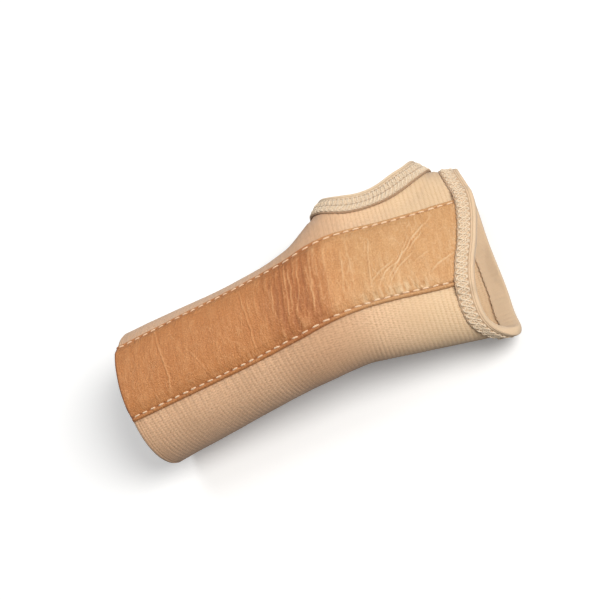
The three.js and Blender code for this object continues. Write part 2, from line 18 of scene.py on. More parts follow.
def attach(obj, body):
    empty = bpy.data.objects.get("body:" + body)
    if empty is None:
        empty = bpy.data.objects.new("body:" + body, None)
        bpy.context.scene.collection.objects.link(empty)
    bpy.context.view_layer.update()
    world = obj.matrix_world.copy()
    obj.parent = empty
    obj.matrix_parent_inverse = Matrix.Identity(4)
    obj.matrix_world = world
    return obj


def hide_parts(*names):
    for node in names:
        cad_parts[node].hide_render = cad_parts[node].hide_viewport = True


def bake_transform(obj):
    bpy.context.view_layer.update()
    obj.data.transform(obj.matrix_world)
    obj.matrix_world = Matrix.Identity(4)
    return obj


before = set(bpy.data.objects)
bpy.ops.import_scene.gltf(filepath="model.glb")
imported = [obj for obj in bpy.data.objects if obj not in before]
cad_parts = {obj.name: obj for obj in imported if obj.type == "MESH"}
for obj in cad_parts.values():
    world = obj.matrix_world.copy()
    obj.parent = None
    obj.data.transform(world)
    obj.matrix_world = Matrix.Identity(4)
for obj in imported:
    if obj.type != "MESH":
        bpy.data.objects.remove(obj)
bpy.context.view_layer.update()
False  # the same pieces are built every time

MM = 0.001
RAD = pi / 180
TAU = 2 * pi

# ---------------------------------------------------------------- driving dimensions
WRIST_EXTENSION, BEND_CENTRE, BEND_LENGTH = 0.305, 99.0, 43.0  # radians, along, length
PITCH = np.radians(5.35)  # the whole splint's tilt about Y
ORIGIN = np.array([90.72, 8.49, -25.9])  # the frame's origin in the pitched sleeve
POWER = 2.15  # of the superellipse section
STATION = np.array([0, 20, 40, 60, 78, 92, 102, 112, 122, 134, 146, 156, 166, 178, 200.0])
# one value per station: half sizes of the section towards each side, its sideways shift,
# and the pocket's edges as arcs from the palm's middle line
TABLE = {
    "thumb": [35.6, 34.5, 33.3, 32.1, 32.7, 35.6, 42.0, 49.0, 53.0, 55.5, 56.5, 54.0, 50.5,
              47.8, 46.0],
    "little": [35.9, 35.3, 34.7, 34.2, 34.6, 35.1, 35.2, 35.3, 36.3, 37.9, 39.3, 40.4, 41.6,
               43.0, 44.5],
    "palm": [26.9, 25.9, 24.9, 24.0, 23.1, 22.4, 21.9, 21.4, 20.9, 20.3, 19.7, 19.2, 18.7,
             18.2, 17.6],
    "back": [26.9, 25.8, 24.5, 22.7, 21.1, 20.1, 19.6, 19.1, 18.7, 18.2, 17.9, 17.6, 17.4,
             17.3, 17.2],
    "shift": [-0.6, -0.5, -0.5, -0.4, -0.3, -0.2, 0.4, 0.8, 0.7, 0.6, 0.5, 0.3, 0.2, -0.1, -0.6],
    "edge_thumb": [20.1, 20.4, 21.0, 21.0, 21.0, 21.8, 23.6, 24.4, 24.0, 22.9, 22.6, 22.8, 23.2,
                   23.2, 23.2],
    "edge_little": [23.2, 23.3, 23.3, 23.4, 23.1, 22.4, 21.4, 20.6, 20.2, 20.6, 21.5, 22.0,
                    22.2, 22.2, 22.2],
}
SWELL = [(8.35, 123.9, 12.86), (12.0, 149.25, 13.12)]  # around the thumb: height, along, width
# the finger edge's station: its mean, and its harmonics in turn
FINGER_MEAN = 178.75
FINGER_COS = [3.09, -0.753, -1.456, 0.25, 0.163, -0.086]
FINGER_SIN = [-4.749, 3.468, -1.705, -0.118, -0.276, 0.417]
# thumb hole: centre and half length along; centre and reaches to palm and back in degrees
HOLE_ALONG, HOLE_HALF = 136.1, 22.9
HOLE_TURN, HOLE_PALM, HOLE_BACK = -12.4, 55.0, 42.0
HOLE_POWER = 2.97
HOLE_SCALE = 22  # rough millimetres per unit of hole_value
SLEEVE_WALL, GAP, CROWN, LINING_CROWN = 1.6, 0.3, 1.6, 0.8
OUTER = GAP + 1.15
TRIM = 0.4  # panel's edge inside the pocket's
INSET = 2.0  # topstitching from the panel's edge
STITCH = 4.5  # topstitch pitch
FIRST_STITCH = 2.0
RIB = 2.0  # pitch of the elastic's cords


# ---------------------------------------------------------------- small shapes and vectors
def share(x):
    return np.clip(x, 0, 1)


def smooth(x):
    x = share(x)
    return x * x * (3 - 2 * x)


def bell(x, width):
    return exp(-((x / width) ** 2))


def rounded(distance, radius):
    """Quarter circle from 0 at an edge to 1 at radius."""
    return sqrt(1 - (1 - share(distance / radius)) ** 2)


def squared(x, power):
    """A sine or cosine bent towards a superellipse."""
    return np.sign(x) * abs(x) ** (2 / power)


def unit(vectors, tiny=0.0):
    return vectors / (np.linalg.norm(vectors, axis=-1, keepdims=True) + tiny)


def travelled(path):
    return concatenate([[0], np.cumsum(np.linalg.norm(np.diff(path, axis=0), axis=1))])


def travelled_round(loop):
    return travelled(np.append(loop, loop[:1], 0))


def grid(rows, cols):
    return np.meshgrid(rows, cols, indexing="ij")


# ---------------------------------------------------------------- the sleeve's surface
def slopes(sizes):
    """Slopes at the stations of a curve that never overshoots them."""
    step = np.diff(STATION)
    rise = np.diff(sizes) / step
    slope = np.zeros(len(STATION))
    slope[0], slope[-1] = rise[0], rise[-1]
    for i in range(1, len(STATION) - 1):
        if rise[i - 1] * rise[i] > 0:
            before, after = 2 * step[i] + step[i - 1], step[i] + 2 * step[i - 1]
            slope[i] = (before + after) / (before / rise[i - 1] + after / rise[i])
    return slope


SIZES = {name: np.array(sizes) for name, sizes in TABLE.items()}
SLOPES = {name: slopes(sizes) for name, sizes in SIZES.items()}


def size_at(name, along):
    """A TABLE row at any station: cubic between stations, straight beyond them."""
    x = np.asarray(along, float)
    size, slope = SIZES[name], SLOPES[name]
    k = np.clip(np.searchsorted(STATION, x, side="right") - 1, 0, len(STATION) - 2)
    step = STATION[k + 1] - STATION[k]
    u = (x - STATION[k]) / step
    y = ((1 + 2 * u) * (1 - u) ** 2 * size[k] + u * (1 - u) ** 2 * step * slope[k]
         + u * u * (3 - 2 * u) * size[k + 1] + u * u * (u - 1) * step * slope[k + 1])
    y = where(x < STATION[0], size[0] + slope[0] * (x - STATION[0]), y)
    return where(x > STATION[-1], size[-1] + slope[-1] * (x - STATION[-1]), y)


def pocket_edges(along, trim):
    """Arcs from the middle line to the pocket's thumb and little finger edges, less trim."""
    return size_at("edge_thumb", along) - trim, size_at("edge_little", along) - trim


# the arm's middle line in x and z, sampled along its length
LINE_STEP = 0.1
LINE = linspace(-20, 230, 2501)
LINE_TILT = -WRIST_EXTENSION * smooth((LINE - (BEND_CENTRE - BEND_LENGTH / 2)) / BEND_LENGTH)


def summed(rate):
    total = concatenate([[0], np.cumsum((rate[1:] + rate[:-1]) / 2 * LINE_STEP)])
    return total - np.interp(0, LINE, total)


LINE_X, LINE_Z = summed(cos(LINE_TILT)), summed(sin(LINE_TILT))


def bare(along, turn):
    """The sleeve before its thumb swell, level and not yet moved to the frame."""
    sideways, upward = cos(turn), sin(turn)
    width = where(sideways > 0, size_at("thumb", along), size_at("little", along))
    y = size_at("shift", along) + width * squared(sideways, POWER)
    height = where(upward > 0, size_at("palm", along), size_at("back", along))
    height = height * squared(upward, POWER)
    x, z, tilt = (np.interp(along, LINE, line) for line in (LINE_X, LINE_Z, LINE_TILT))
    return stack([x - height * sin(tilt), y, z + height * cos(tilt)], -1)


def tangents(along, turn):
    return ((bare(along + 0.1, turn) - bare(along - 0.1, turn)) * 5,
            (bare(along, turn + 0.02) - bare(along, turn - 0.02)) * 25)


def degrees(turn):
    return (turn / RAD + 180) % 360 - 180


def swell(along, turn):
    angle = degrees(turn)
    around = bell(angle + 9.6, where(angle > -9.6, 60, 36)) * (1 - smooth((angle - 38) / 26))
    return around * sum(height * bell(along - at, width) for height, at, width in SWELL)


def skin(along, turn, off=0.0, over=0.0):
    """Points `off` outside the sleeve's outer surface. Near both ends z is kept at or above
    -off, raised by `over` towards the fingers, so the splint lies flat on the floor."""
    along, turn, off = np.broadcast_arrays(*(np.asarray(v, float) for v in (along, turn, off)))
    lengthways, around = tangents(along, turn)
    normal = unit(np.cross(around, lengthways))
    p = bare(along, turn) + normal * (swell(along, turn) + off)[..., None]
    x = p[..., 0] * cos(PITCH) - p[..., 2] * sin(PITCH) - ORIGIN[0]
    z = p[..., 0] * sin(PITCH) + p[..., 2] * cos(PITCH) - ORIGIN[2]
    over = where(along > 140, over, 0)
    ground = where((along < 40) | (along > 140), over - off, -1e9)
    return stack([x, p[..., 1] - ORIGIN[1], maximum(z, ground)], -1)


def finger_edge(turn):
    harmonics = enumerate(zip(FINGER_COS, FINGER_SIN), start=1)
    return FINGER_MEAN + sum(a * cos(k * turn) + b * sin(k * turn) for k, (a, b) in harmonics)


# arcs measured on a grid of stations (rows) and turns from -90 to 270 degrees (columns)
ROWS = np.arange(-1.0, 189.01, 1.0)
TURNS = np.radians(np.arange(-90, 270.5, 1.0))
_surface = skin(ROWS[:, None], TURNS[None])
ARC = np.zeros((len(ROWS), len(TURNS)))
ARC[:, 1:] = np.cumsum(np.linalg.norm(np.diff(_surface, axis=1), axis=2), axis=1)
ARC = ARC[:, 180:181] - ARC


def turn_at(along, arc):
    """The turn of each arc in row i of `arc`, at station along[i]."""
    arc = np.asarray(arc, float)
    out = np.zeros_like(arc)
    for i, station in enumerate(along):
        place = min(max(station - ROWS[0], 0), len(ROWS) - 1.001)
        k = int(place)
        row = ARC[k] * (1 - (place - k)) + ARC[k + 1] * (place - k)
        out[i] = np.interp(-arc[i], -row, TURNS)
    return out


# ---------------------------------------------------------------- seeded noise
@cache
def lattice(seed):
    return np.random.RandomState(seed).uniform(-1, 1, (64, 64))


def noise(x, y, seed):
    table = lattice(seed)
    i, j = np.floor(x).astype(int), np.floor(y).astype(int)
    x, y = x - i, y - j
    x, y = x ** 3 * (x * (x * 6 - 15) + 10), y ** 3 * (y * (y * 6 - 15) + 10)

    def corner(di, dj):
        return table[(i + di) % 64, (j + dj) % 64]

    return ((corner(0, 0) * (1 - x) + corner(1, 0) * x) * (1 - y)
            + (corner(0, 1) * (1 - x) + corner(1, 1) * x) * y)


def fbm(x, y, seed, octaves=2):
    """Noise in octaves, each twice as fine and half as strong as the last."""
    x, y = np.broadcast_arrays(np.asarray(x, float), np.asarray(y, float))
    return sum(0.5 ** k * noise(x * 2 ** k, y * 2 ** k, seed + 7 * k) for k in range(octaves))


def ridges(x, y, seed):
    """Only the tops of ridged noise, 0 to 1."""
    return maximum(1 - 2 * abs(fbm(x, y, seed)) - 0.70, 0) / 0.30


# ---------------------------------------------------------------- meshes
def volume(points, faces):
    a, b, c, d = (points[faces[:, k]] for k in range(4))
    return (a * (np.cross(b, c) + np.cross(c, d))).sum() / 6


def make(name, points, faces, uv, attrs=None):
    """A closed quad mesh facing outwards; uv per vertex (n, 2) or per face corner (m, 4, 2)."""
    if volume(points, faces) < 0:
        faces = faces[:, ::-1]
        if uv.ndim == 3:
            uv = uv[:, ::-1]
    mesh = bpy.data.meshes.new(name)
    mesh.vertices.add(len(points))
    mesh.vertices.foreach_set("co", (points * MM).astype(np.float32).ravel())
    mesh.loops.add(faces.size)
    mesh.loops.foreach_set("vertex_index", faces.ravel().astype(np.int32))
    mesh.polygons.add(len(faces))
    mesh.polygons.foreach_set("loop_start", np.arange(0, faces.size, 4, dtype=np.int32))
    mesh.update(calc_edges=True)
    mesh.validate()
    layer = mesh.uv_layers.new(name="UVMap")
    corners = np.zeros(len(mesh.loops), np.int32)
    mesh.loops.foreach_get("vertex_index", corners)
    uv = uv[corners] if uv.ndim == 2 else uv
    layer.data.foreach_set("uv", uv.astype(np.float32).ravel())
    for key, values in (attrs or {}).items():
        attribute = mesh.attributes.new(key, "FLOAT", "POINT")
        attribute.data.foreach_set("value", np.asarray(values, np.float32).ravel())
    mesh.polygons.foreach_set("use_smooth", np.full(len(mesh.polygons), True))
    return add_object(name, mesh)


def add_object(name, data):
    obj = bpy.data.objects.new(name, data)
    bpy.context.scene.collection.objects.link(obj)
    return obj


def grid_quads(rows, cols, wrap_rows=False, wrap_cols=False):
    i, j = grid(np.arange(rows - (not wrap_rows)), np.arange(cols - (not wrap_cols)))
    i2, j2 = (i + 1) % rows, (j + 1) % cols
    quads = [i * cols + j, i2 * cols + j, i2 * cols + j2, i * cols + j2]
    return stack(quads, -1).reshape(-1, 4)


def corner_uvs(uv):
    """Per-corner uvs, in grid_quads order, from a grid of uvs."""
    corners = [uv[:-1, :-1], uv[1:, :-1], uv[1:, 1:], uv[:-1, 1:]]
    return stack(corners, 2).reshape(-1, 4, 2)


def slab(name, outer, inner, uv, keep=None, attrs=None):
    """Closed wall between two point grids. keep marks the grid points that are there."""
    rows, cols = outer.shape[:2]
    count = rows * cols
    quads = grid_quads(rows, cols)
    if keep is not None:
        quads = quads[keep.ravel()[quads].all(1)]
    edges = concatenate([stack([quads[:, k], quads[:, (k + 1) % 4]], 1) for k in range(4)])
    start, end = edges.T
    rim = edges[~np.isin(start * count + end, end * count + start)]
    side = stack([rim[:, 1], rim[:, 0], rim[:, 0] + count, rim[:, 1] + count], 1)
    faces = concatenate([quads, quads[:, ::-1] + count, side])
    used, faces = np.unique(faces, return_inverse=True)
    points = concatenate([outer.reshape(-1, 3), inner.reshape(-1, 3)])[used]
    uvs = concatenate([uv.reshape(-1, 2)] * 2)[used]
    attrs = {key: concatenate([a.ravel()] * 2)[used] for key, a in (attrs or {}).items()}
    return make(name, points, faces.reshape(-1, 4), uvs, attrs)


def thread_tube(path, up, radius, wide, closed, sides):
    """Points, faces and uvs of a thread; up is the surface's normal, wide its flattening.
    Open threads get rounded, closed ends."""
    count = len(path)
    radius = np.full(count, float(radius))
    if closed:
        heading = np.roll(path, -1, 0) - np.roll(path, 1, 0)
    else:
        heading = np.gradient(path, axis=0)
        radius[[0, -1]] *= 0.04
        radius[[1, -2]] *= 0.72
    heading = unit(heading, 1e-9)
    side = unit(np.cross(heading, up), 1e-9)
    normal = np.cross(side, heading)
    angle = linspace(0, TAU, sides, endpoint=False)[None, :, None]
    section = cos(angle) * side[:, None] * wide + sin(angle) * normal[:, None]
    points = (path[:, None] + radius[:, None, None] * section).reshape(-1, 3)

    length = travelled(path)
    if closed:
        length = np.append(length, length[-1] + 0.3)
    order = [0, 3, 2, 1]
    faces = grid_quads(count, sides, wrap_rows=closed, wrap_cols=True)[:, order]
    uv = corner_uvs(stack(grid(length, np.arange(sides + 1) / sides), -1))[:, order]
    if not closed:
        caps = np.array([[k - 1, k, sides - 1 - k, (sides - k) % sides]
                         for k in range(1, sides // 2)])
        faces = concatenate([faces, caps[:, ::-1], caps + (count - 1) * sides])
        uv = concatenate([uv, np.zeros((2 * len(caps), 4, 2))])
    return points, faces, uv


def threads(name, runs, sides=6):
    """One mesh of many threads; each run is (path, up, radius, wide, closed)."""
    points, faces, uvs, base = [], [], [], 0
    for run in runs:
        tube_points, tube_faces, tube_uv = thread_tube(*run, sides)
        points.append(tube_points)
        faces.append(tube_faces + base)
        uvs.append(tube_uv)
        base += len(tube_points)
    return make(name, concatenate(points), concatenate(faces), concatenate(uvs))


# ---------------------------------------------------------------- edges of the sleeve
def hole_value(along, turn):
    """Below 0 inside the thumb hole."""
    angle = degrees(turn)
    reach = (angle - HOLE_TURN) / where(angle > HOLE_TURN, HOLE_PALM, HOLE_BACK)
    total = abs((along - HOLE_ALONG) / HOLE_HALF) ** HOLE_POWER + abs(reach) ** HOLE_POWER
    return total ** (1 / HOLE_POWER) - 1


def hole_edge(phase):
    across = sin(phase)
    along = HOLE_ALONG + HOLE_HALF * squared(cos(phase), HOLE_POWER)
    reach = where(across > 0, HOLE_PALM, HOLE_BACK) * squared(across, HOLE_POWER)
    return along, (HOLE_TURN + reach) * RAD


def thumb_loop(count):
    """The thumb hole's edge, evenly spaced."""
    phase = linspace(0, TAU, count, endpoint=False)
    for _ in range(3):
        length = travelled_round(skin(*hole_edge(phase)))
        even = linspace(0, length[-1], count, endpoint=False)
        phase = np.interp(even, length, np.append(phase, TAU + phase[0]))
    return hole_edge(phase)


def grown(along, turn, step):
    """A loop on the surface moved outwards by step."""
    lengthways, around = tangents(along, turn)
    points = bare(along, turn)
    up = unit(np.cross(around, lengthways))
    out = np.cross(unit(np.roll(points, -1, 0) - np.roll(points, 1, 0)), up)
    out = out * np.sign((out * (points - points.mean(0))).sum(1).sum())

    def dot(first, second):
        return (first * second).sum(1)

    # solve for the surface step whose displacement is `out`
    long2, mixed, round2 = (dot(lengthways, lengthways), dot(lengthways, around),
                            dot(around, around))
    out_long, out_round = dot(lengthways, out), dot(around, out)
    det = long2 * round2 - mixed * mixed
    return (along + step * (round2 * out_long - mixed * out_round) / det,
            turn + step * (long2 * out_round - mixed * out_long) / det)


def softened(loop):
    return (np.roll(loop, 1) + 2 * loop + np.roll(loop, -1)) / 4


class Rim:
    """An edge of the sleeve as a loop. rings holds (along, turn) loops by their depth, the
    distance into the sleeve from the edge."""

    def __init__(self, rings):
        self.depth = np.array(sorted(rings))
        self.along = np.array([rings[depth][0] for depth in self.depth])
        self.turn = np.array([rings[depth][1] for depth in self.depth])
        self.count = self.along.shape[1]
        self.length = travelled_round(skin(*rings[0.0]))
        self.total = self.length[-1]

    def at(self, run, depth):
        """(along, turn) at distance run round the edge, depth into the sleeve."""
        place = np.interp(run % self.total, self.length, np.arange(self.count + 1)) % self.count
        i = np.floor(place).astype(int) % self.count
        j = (i + 1) % self.count
        w = place - np.floor(place)
        k = np.searchsorted(self.depth, depth, side="right") - 1
        k = np.clip(k, 0, len(self.depth) - 2)
        x = (depth - self.depth[k]) / (self.depth[k + 1] - self.depth[k])
        here, there = ([ring[k, n] * (1 - x) + ring[k + 1, n] * x
                        for ring in (self.along, self.turn)] for n in (i, j))
        there[1] = here[1] + (there[1] - here[1] + pi) % TAU - pi
        return [a * (1 - w) + b * w for a, b in zip(here, there)]


def thumb_rim(count=280, step=0.7):
    edge = thumb_loop(count)
    rings = {0.0: edge}
    loop = edge
    for k in range(1, 14):
        loop = [softened(part) for part in grown(*loop, step)]
        rings[round(step * k, 3)] = loop
    for depth in (-0.7, -1.4, -2.1):
        rings[depth] = grown(*edge, depth)
    return Rim(rings)


def finger_rim(count=420):
    turn = linspace(0, TAU, 4001)
    length = travelled(skin(finger_edge(turn), turn))
    turn = np.interp(linspace(0, length[-1], count, endpoint=False), length, turn)
    along = finger_edge(turn)
    return Rim({depth: (along - depth, turn) for depth in (-2.5, 0.0, 5.0, 10.0)})


THUMB = thumb_rim()
FINGER = finger_rim()
POCKET_TURNS = [turn_at(ROWS, sign * edge[:, None])[:, 0]
                for sign, edge in zip((1, -1), pocket_edges(ROWS, 0))]


def over_panel(along, turn):
    """1 where a tape lies over the panel, 0 where it lies on the sleeve."""
    thumb, little = (np.interp(minimum(along, 178), ROWS, edge) for edge in POCKET_TURNS)
    turn = (turn + pi / 2) % TAU - pi / 2
    return (1 - smooth((thumb - turn - 0.01) / 0.17)) * (1 - smooth((turn - little - 0.01) / 0.17))


# ---------------------------------------------------------------- elastic sleeve
def snap(along, turn, value):
    """Moves kept points next to a removed one onto the edge, where value is 0.
    Returns the keep mask, along and turn."""
    keep = value > 0
    new_along, new_turn = along.copy(), turn.copy()
    done = np.zeros_like(keep)
    for axis, shift in ((0, 1), (0, -1), (1, 1), (1, -1)):
        next_value, next_along, next_turn, next_keep = (
            np.roll(values, shift, axis) for values in (value, along, turn, keep))
        valid = np.ones_like(keep)
        border = [slice(None)] * 2
        border[axis] = 0 if shift == 1 else -1
        valid[tuple(border)] = False
        move = keep & ~next_keep & valid & ~done
        part = where(move, value / where(move, value - next_value, 1), 0)
        new_along = where(move, along + part * (next_along - along), new_along)
        new_turn = where(move, turn + part * (next_turn - turn), new_turn)
        done |= move
    return keep, new_along, new_turn


def rib_shape(along, around):
    """Height of the elastic's cords, 0 in the valleys to 1 on top, and how deep they are."""
    cord = sqrt(abs(cos(pi * (along / RIB + 0.30 * fbm(around / 30, along / 45, 3)))))
    depth = 0.15 + 0.07 * smooth((along - 108) / 20)
    depth = depth * (1 + 0.5 * fbm(around / 12, along / 15, 5))
    # closer, deeper cords in the band at the forearm end
    band = 1 - smooth((along - 4.2) / 1.6)
    band_cord = sqrt(abs(cos(pi * along / 1.35)))
    return cord * (1 - band) + band_cord * band, depth * (1 - band) + 0.34 * band


def build_sleeve(cols=96, step=0.4, tuck=4.5):
    """From tuck inside the pocket's thumb edge, round the back, to its little finger edge."""
    along = np.arange(0, 186.01, step)
    top, bottom = (np.interp(along, ROWS, ARC[:, k]) for k in (0, -1))
    thumb, little = pocket_edges(along, tuck)
    first = top - thumb
    total = first + (-little - bottom)
    p = total[:, None] * linspace(0, 1, cols)[None]
    around = p - first[:, None]  # 0 on the back's middle line
    thumb_half = p < first[:, None]
    turn = turn_at(along, where(thumb_half, thumb[:, None] + p, bottom[:, None] + around))
    turn = where(thumb_half, turn, turn - TAU)
    along = np.repeat(along[:, None], cols, 1)
    value = minimum(hole_value(along, turn) * HOLE_SCALE - 0.7, finger_edge(turn) - 0.9 - along)
    keep, along, turn = snap(along, turn, value)

    rib, depth = rib_shape(along, around)
    near = minimum(p, total[:, None] - p) - tuck  # distance outside the pocket's seams
    soft = 0.22 * fbm(along / 30, around / 24, 11, 3) * smooth((along - 4) / 12) * share(near / 8)
    pull = 0.16 * exp(-(maximum(near, 0) / 3.2)) * sin(TAU * along / STITCH) * (near > -1)
    lip = 0.5 * (1 - smooth(along / 0.9))
    # pressed down under the edge tapes
    press = (0.75 * (1 - smooth((hole_value(along, turn) * HOLE_SCALE - 7.6) / 2.2))
             + 0.45 * smooth((along - finger_edge(turn) + 9.6) / 1.6))
    off = -depth * (1 - rib) + soft + pull - lip - press
    inner = -SLEEVE_WALL + 0.10 - 0.12 * (rib - 0.5) + soft + lip - 0.6 * press
    # valley is 1 in the cords' valleys, where the elastic's material paints shade
    return slab("elastic_sleeve", skin(along, turn, off, OUTER), skin(along, turn, inner, OUTER),
                stack([along, around], -1), keep, {"valley": 1 - rib})


# ---------------------------------------------------------------- leatherette panel
# folds: (along, arc) points of each, height (negative for a furrow), half width
CREASES = [
    ([(67, 19.2), (68.5, 16), (70.5, 11.8), (71.3, 5), (72, -1.2), (72, -9.2), (71.6, -16.5),
      (71.4, -20.5)], 0.36, 0.46),
    ([(22, 18.5), (24.5, 9.8), (26, -2.2), (26.5, -11.8), (24.6, -17), (24, -19.2)], 0.30, 0.50),
    ([(14, 5), (13.8, 0.8), (13.5, -6), (13.8, -9)], 0.12, 0.50),
    ([(38, -1), (40.2, -5), (44.2, -13), (45.5, -19)], 0.20, 0.48),
    ([(60.5, -6), (61.8, -14)], 0.12, 0.50),
    ([(160.5, 17.2), (157, 13.6), (154.2, 11.5), (151, 8.8), (146.8, 5), (144.5, 2), (141, -1),
      (139.5, -3), (137.2, -4.8), (134.8, -7.8), (132, -12)], 0.36, 0.48),
    ([(147, 8.5), (145.2, 5.5), (142.8, 2.2), (139.5, -3), (137, -6.5)], 0.22, 0.44),
    ([(140.5, -1.5), (138.2, -3.8), (133.8, -5.6), (129.2, -9.8), (127.5, -13)], 0.26, 0.44),
    ([(138, -1), (135.8, -3), (130.2, -5.5), (125.8, -8.5), (123.8, -11.5)], 0.22, 0.44),
    ([(153.5, 9), (152, 7.2), (147.5, 3), (144.5, 0)], 0.26, 0.44),
    ([(148, 0), (145.5, -2), (141.5, -4.2), (138.5, -6.2), (134.2, -10.5), (132.2, -14.2)],
     0.26, 0.44),
    ([(154, -2.2), (152.5, -2.8), (148.8, -4.2), (145, -6.6)], 0.18, 0.44),
    ([(168, -4.4), (164.2, -6.2), (158.8, -8.2), (155.8, -9.5), (152, -12.4)], 0.28, 0.48),
    ([(128.8, 13), (128.2, 7.2), (127, 3.2), (125.5, -4.2), (124, -11.5)], 0.22, 0.46),
    ([(115.8, 12), (115, 6), (113, -7), (112.4, -13)], 0.18, 0.44),
    ([(118.5, 18), (118, 2), (116.5, -11)], 0.12, 0.45),
    ([(92.8, 19), (92.6, 13), (92.5, 10), (91.5, -2.2), (89.8, -13), (89.3, -20)], 0.32, 0.44),
    ([(94.2, 14.5), (93.8, 9), (93.8, 3.2), (92, -6.2)], 0.20, 0.40),
    ([(98.4, 16), (98, 12.2), (97, 1.2), (94.2, -9), (93.4, -14)], 0.30, 0.44),
    ([(101.2, 17), (101, 11), (101, 0.2), (100.5, -10), (100, -14)], 0.22, 0.42),
    ([(102.2, 8), (101.8, 2.5), (100.8, -7.8), (99.3, -17)], 0.28, 0.42),
    ([(105.4, 17), (104.8, 6), (104.4, -4), (103.5, -14)], 0.20, 0.42),
    ([(108.6, 13), (108, 3), (107, -9)], 0.14, 0.42),
    ([(87.5, 17), (86.6, 8), (85, -6), (84, -16)], 0.20, 0.42),
    ([(82.4, 12), (81.6, 2), (80.2, -12)], 0.12, 0.42),
    ([(95.8, 19), (95.6, 11), (94.8, 2), (92.2, -12), (91.4, -18)], -0.30, 0.52),
    ([(99.6, 18), (99.4, 8), (98.4, -4), (96.6, -15)], -0.30, 0.52),
    ([(90.4, 18), (90.2, 8), (89, -4), (86.8, -17)], -0.26, 0.52),
    ([(103.4, 16), (103, 6), (102.6, -6), (101.6, -17)], -0.22, 0.50),
]


def distance_to(path, x, y):
    """Distance to a path, and the share of the path passed at its nearest point."""
    best, passed = np.full(x.shape, 1e9), np.zeros(x.shape)
    path = np.array(path, float)
    start = travelled(path)
    for k, (point, leg) in enumerate(zip(path, np.diff(path, axis=0))):
        part = share(((x - point[0]) * leg[0] + (y - point[1]) * leg[1]) / (leg @ leg))
        gap = np.hypot(x - point[0] - part * leg[0], y - point[1] - part * leg[1])
        length = start[k] + part * (start[k + 1] - start[k])
        passed = where(gap < best, length / start[-1], passed)
        best = minimum(gap, best)
    return best, passed


def stitch_wave(along):
    return cos(TAU * (along - FIRST_STITCH + 0.75) / STITCH)


def panel_relief(along, arc):
    """Height of the panel's outer face over the sleeve, and the painted highlight (+) or
    painted shade (-) on its folds."""
    thumb, little = pocket_edges(along, TRIM)
    edge = minimum(thumb - arc, arc + little)
    inward = edge - INSET
    past = maximum(inward, 0)
    across = where(arc > 0, arc / thumb, -arc / little)
    base = smooth(inward / 2.5)

    taper = 1 - smooth((along - 146) / 15)
    crown = CROWN * (1 - share(across) ** 4) * taper * smooth(inward / 4.2)
    beat = 0.5 + 0.5 * stitch_wave(along)
    groove = -(0.34 + 0.16 * beat) * bell(inward, 0.62)
    lip = 0.16 * sin(pi * share(edge / INSET)) + 0.05 * fbm(along / 5, edge / 3, 21) * (inward < 0)

    # gathers that run in from the stitches, strongest on the palm's little finger side
    lower = smooth((-arc) / 6)
    palm = lower * bell(along - 131, 17)
    reach = 2.6 + 5.5 * palm + 1.2 * fbm(along / 9, 0.3, 31)
    wave = (sin(TAU * along / STITCH + 1.1 + 1.6 * fbm(along / 14, arc / 9, 33))
            + 0.8 * fbm(along / 2.1, arc / 7.5, 35))
    gather = (0.12 + 0.26 * palm) * exp(-past / reach) * wave * (edge > INSET * 0.8)
    # pucker adds no height: lighter streaks along the little finger edge's stitches, painted
    # highlight
    pucker = lower * exp(-(((along - 134) / 19) ** 4)) * exp(-past / 3.6) * (edge > INSET * 0.9)
    pucker = pucker * (0.42 + 1.2 * maximum(fbm((along + 0.15 * arc) / 1.15, arc / 5, 37), -0.35))

    # fine creases that run across the panel, each bent by a slower noise
    lean = along - 0.08 * arc
    crinkle = fbm((lean + 0.7 * fbm(along / 9, arc / 9, 41)) / 1.5, arc / 8.5, 43)
    fine = ridges((lean + 0.6 * fbm(along / 6, arc / 5, 141)) / 2.2, arc / 9, 143)
    fine = fine * share(0.35 + 1.3 * fbm(along / 10, arc / 7, 145))
    sharp = ridges((lean + 1.1 * fbm(along / 7, arc / 10, 47)) / 3.1, arc / 17, 45)
    sharp = sharp * share(0.5 + 1.1 * fbm(along / 17, arc / 9, 49))
    # more of them where the wrist bends
    wrist = bell(along - 92, 15)
    wave = fbm((lean + 1.0 * fbm(along / 16, arc / 10, 51)) / 2.6, arc / 22, 53, 3)
    close = fbm((lean + 0.8 * fbm(along / 14, arc / 9, 151)) / 1.35, arc / 20, 153)
    fold = base * (0.055 * crinkle + 0.08 * fine - 0.05 * sharp
                   + wrist * (0.16 * wave + 0.15 * close))
    # tone: painted highlight on the tops of the crinkles, painted shade in their troughs and
    # across the wrist, and the puckers' painted highlight
    tone = base * (0.18 * crinkle + 0.34 * fine + wrist * (0.30 * wave + 0.62 * close - 0.16)
                   - 0.22 * sharp) + 1.5 * pucker

    # each drawn fold has a dip or rise beside it
    wobbled = along + 0.35 * fbm(along / 4, arc / 4, 71)
    for path, height, half in CREASES:
        half = 0.78 * half
        gap, passed = distance_to(path, wobbled, arc)
        fade = sin(pi * np.clip(passed, 0.02, 0.98)) ** 0.5
        ridge = bell(gap, half) * fade
        fold = fold + 0.8 * height * ridge - 0.35 * height * bell(gap - 2.1 * half, half) * fade
        # painted highlight on raised folds and beside furrows, painted shade in furrows and in the
        # dips beside raised folds
        tone = (tone + np.clip(height * 3.0, -0.9, 0.9) * ridge
                - np.clip(height, -0.3, 0.3) * bell(gap - 2.2 * half, half) * fade)
    loose = base * 0.22 * fbm(along / 24, arc / 16, 61)
    hem = 0.06 * (1 - smooth((along - 3.0) / 2.0))
    height = (GAP + 0.68 + 0.32 * smooth(edge / 3) + crown + groove + lip + gather * base ** 0.3
              + fold + loose + hem)
    return height, tone


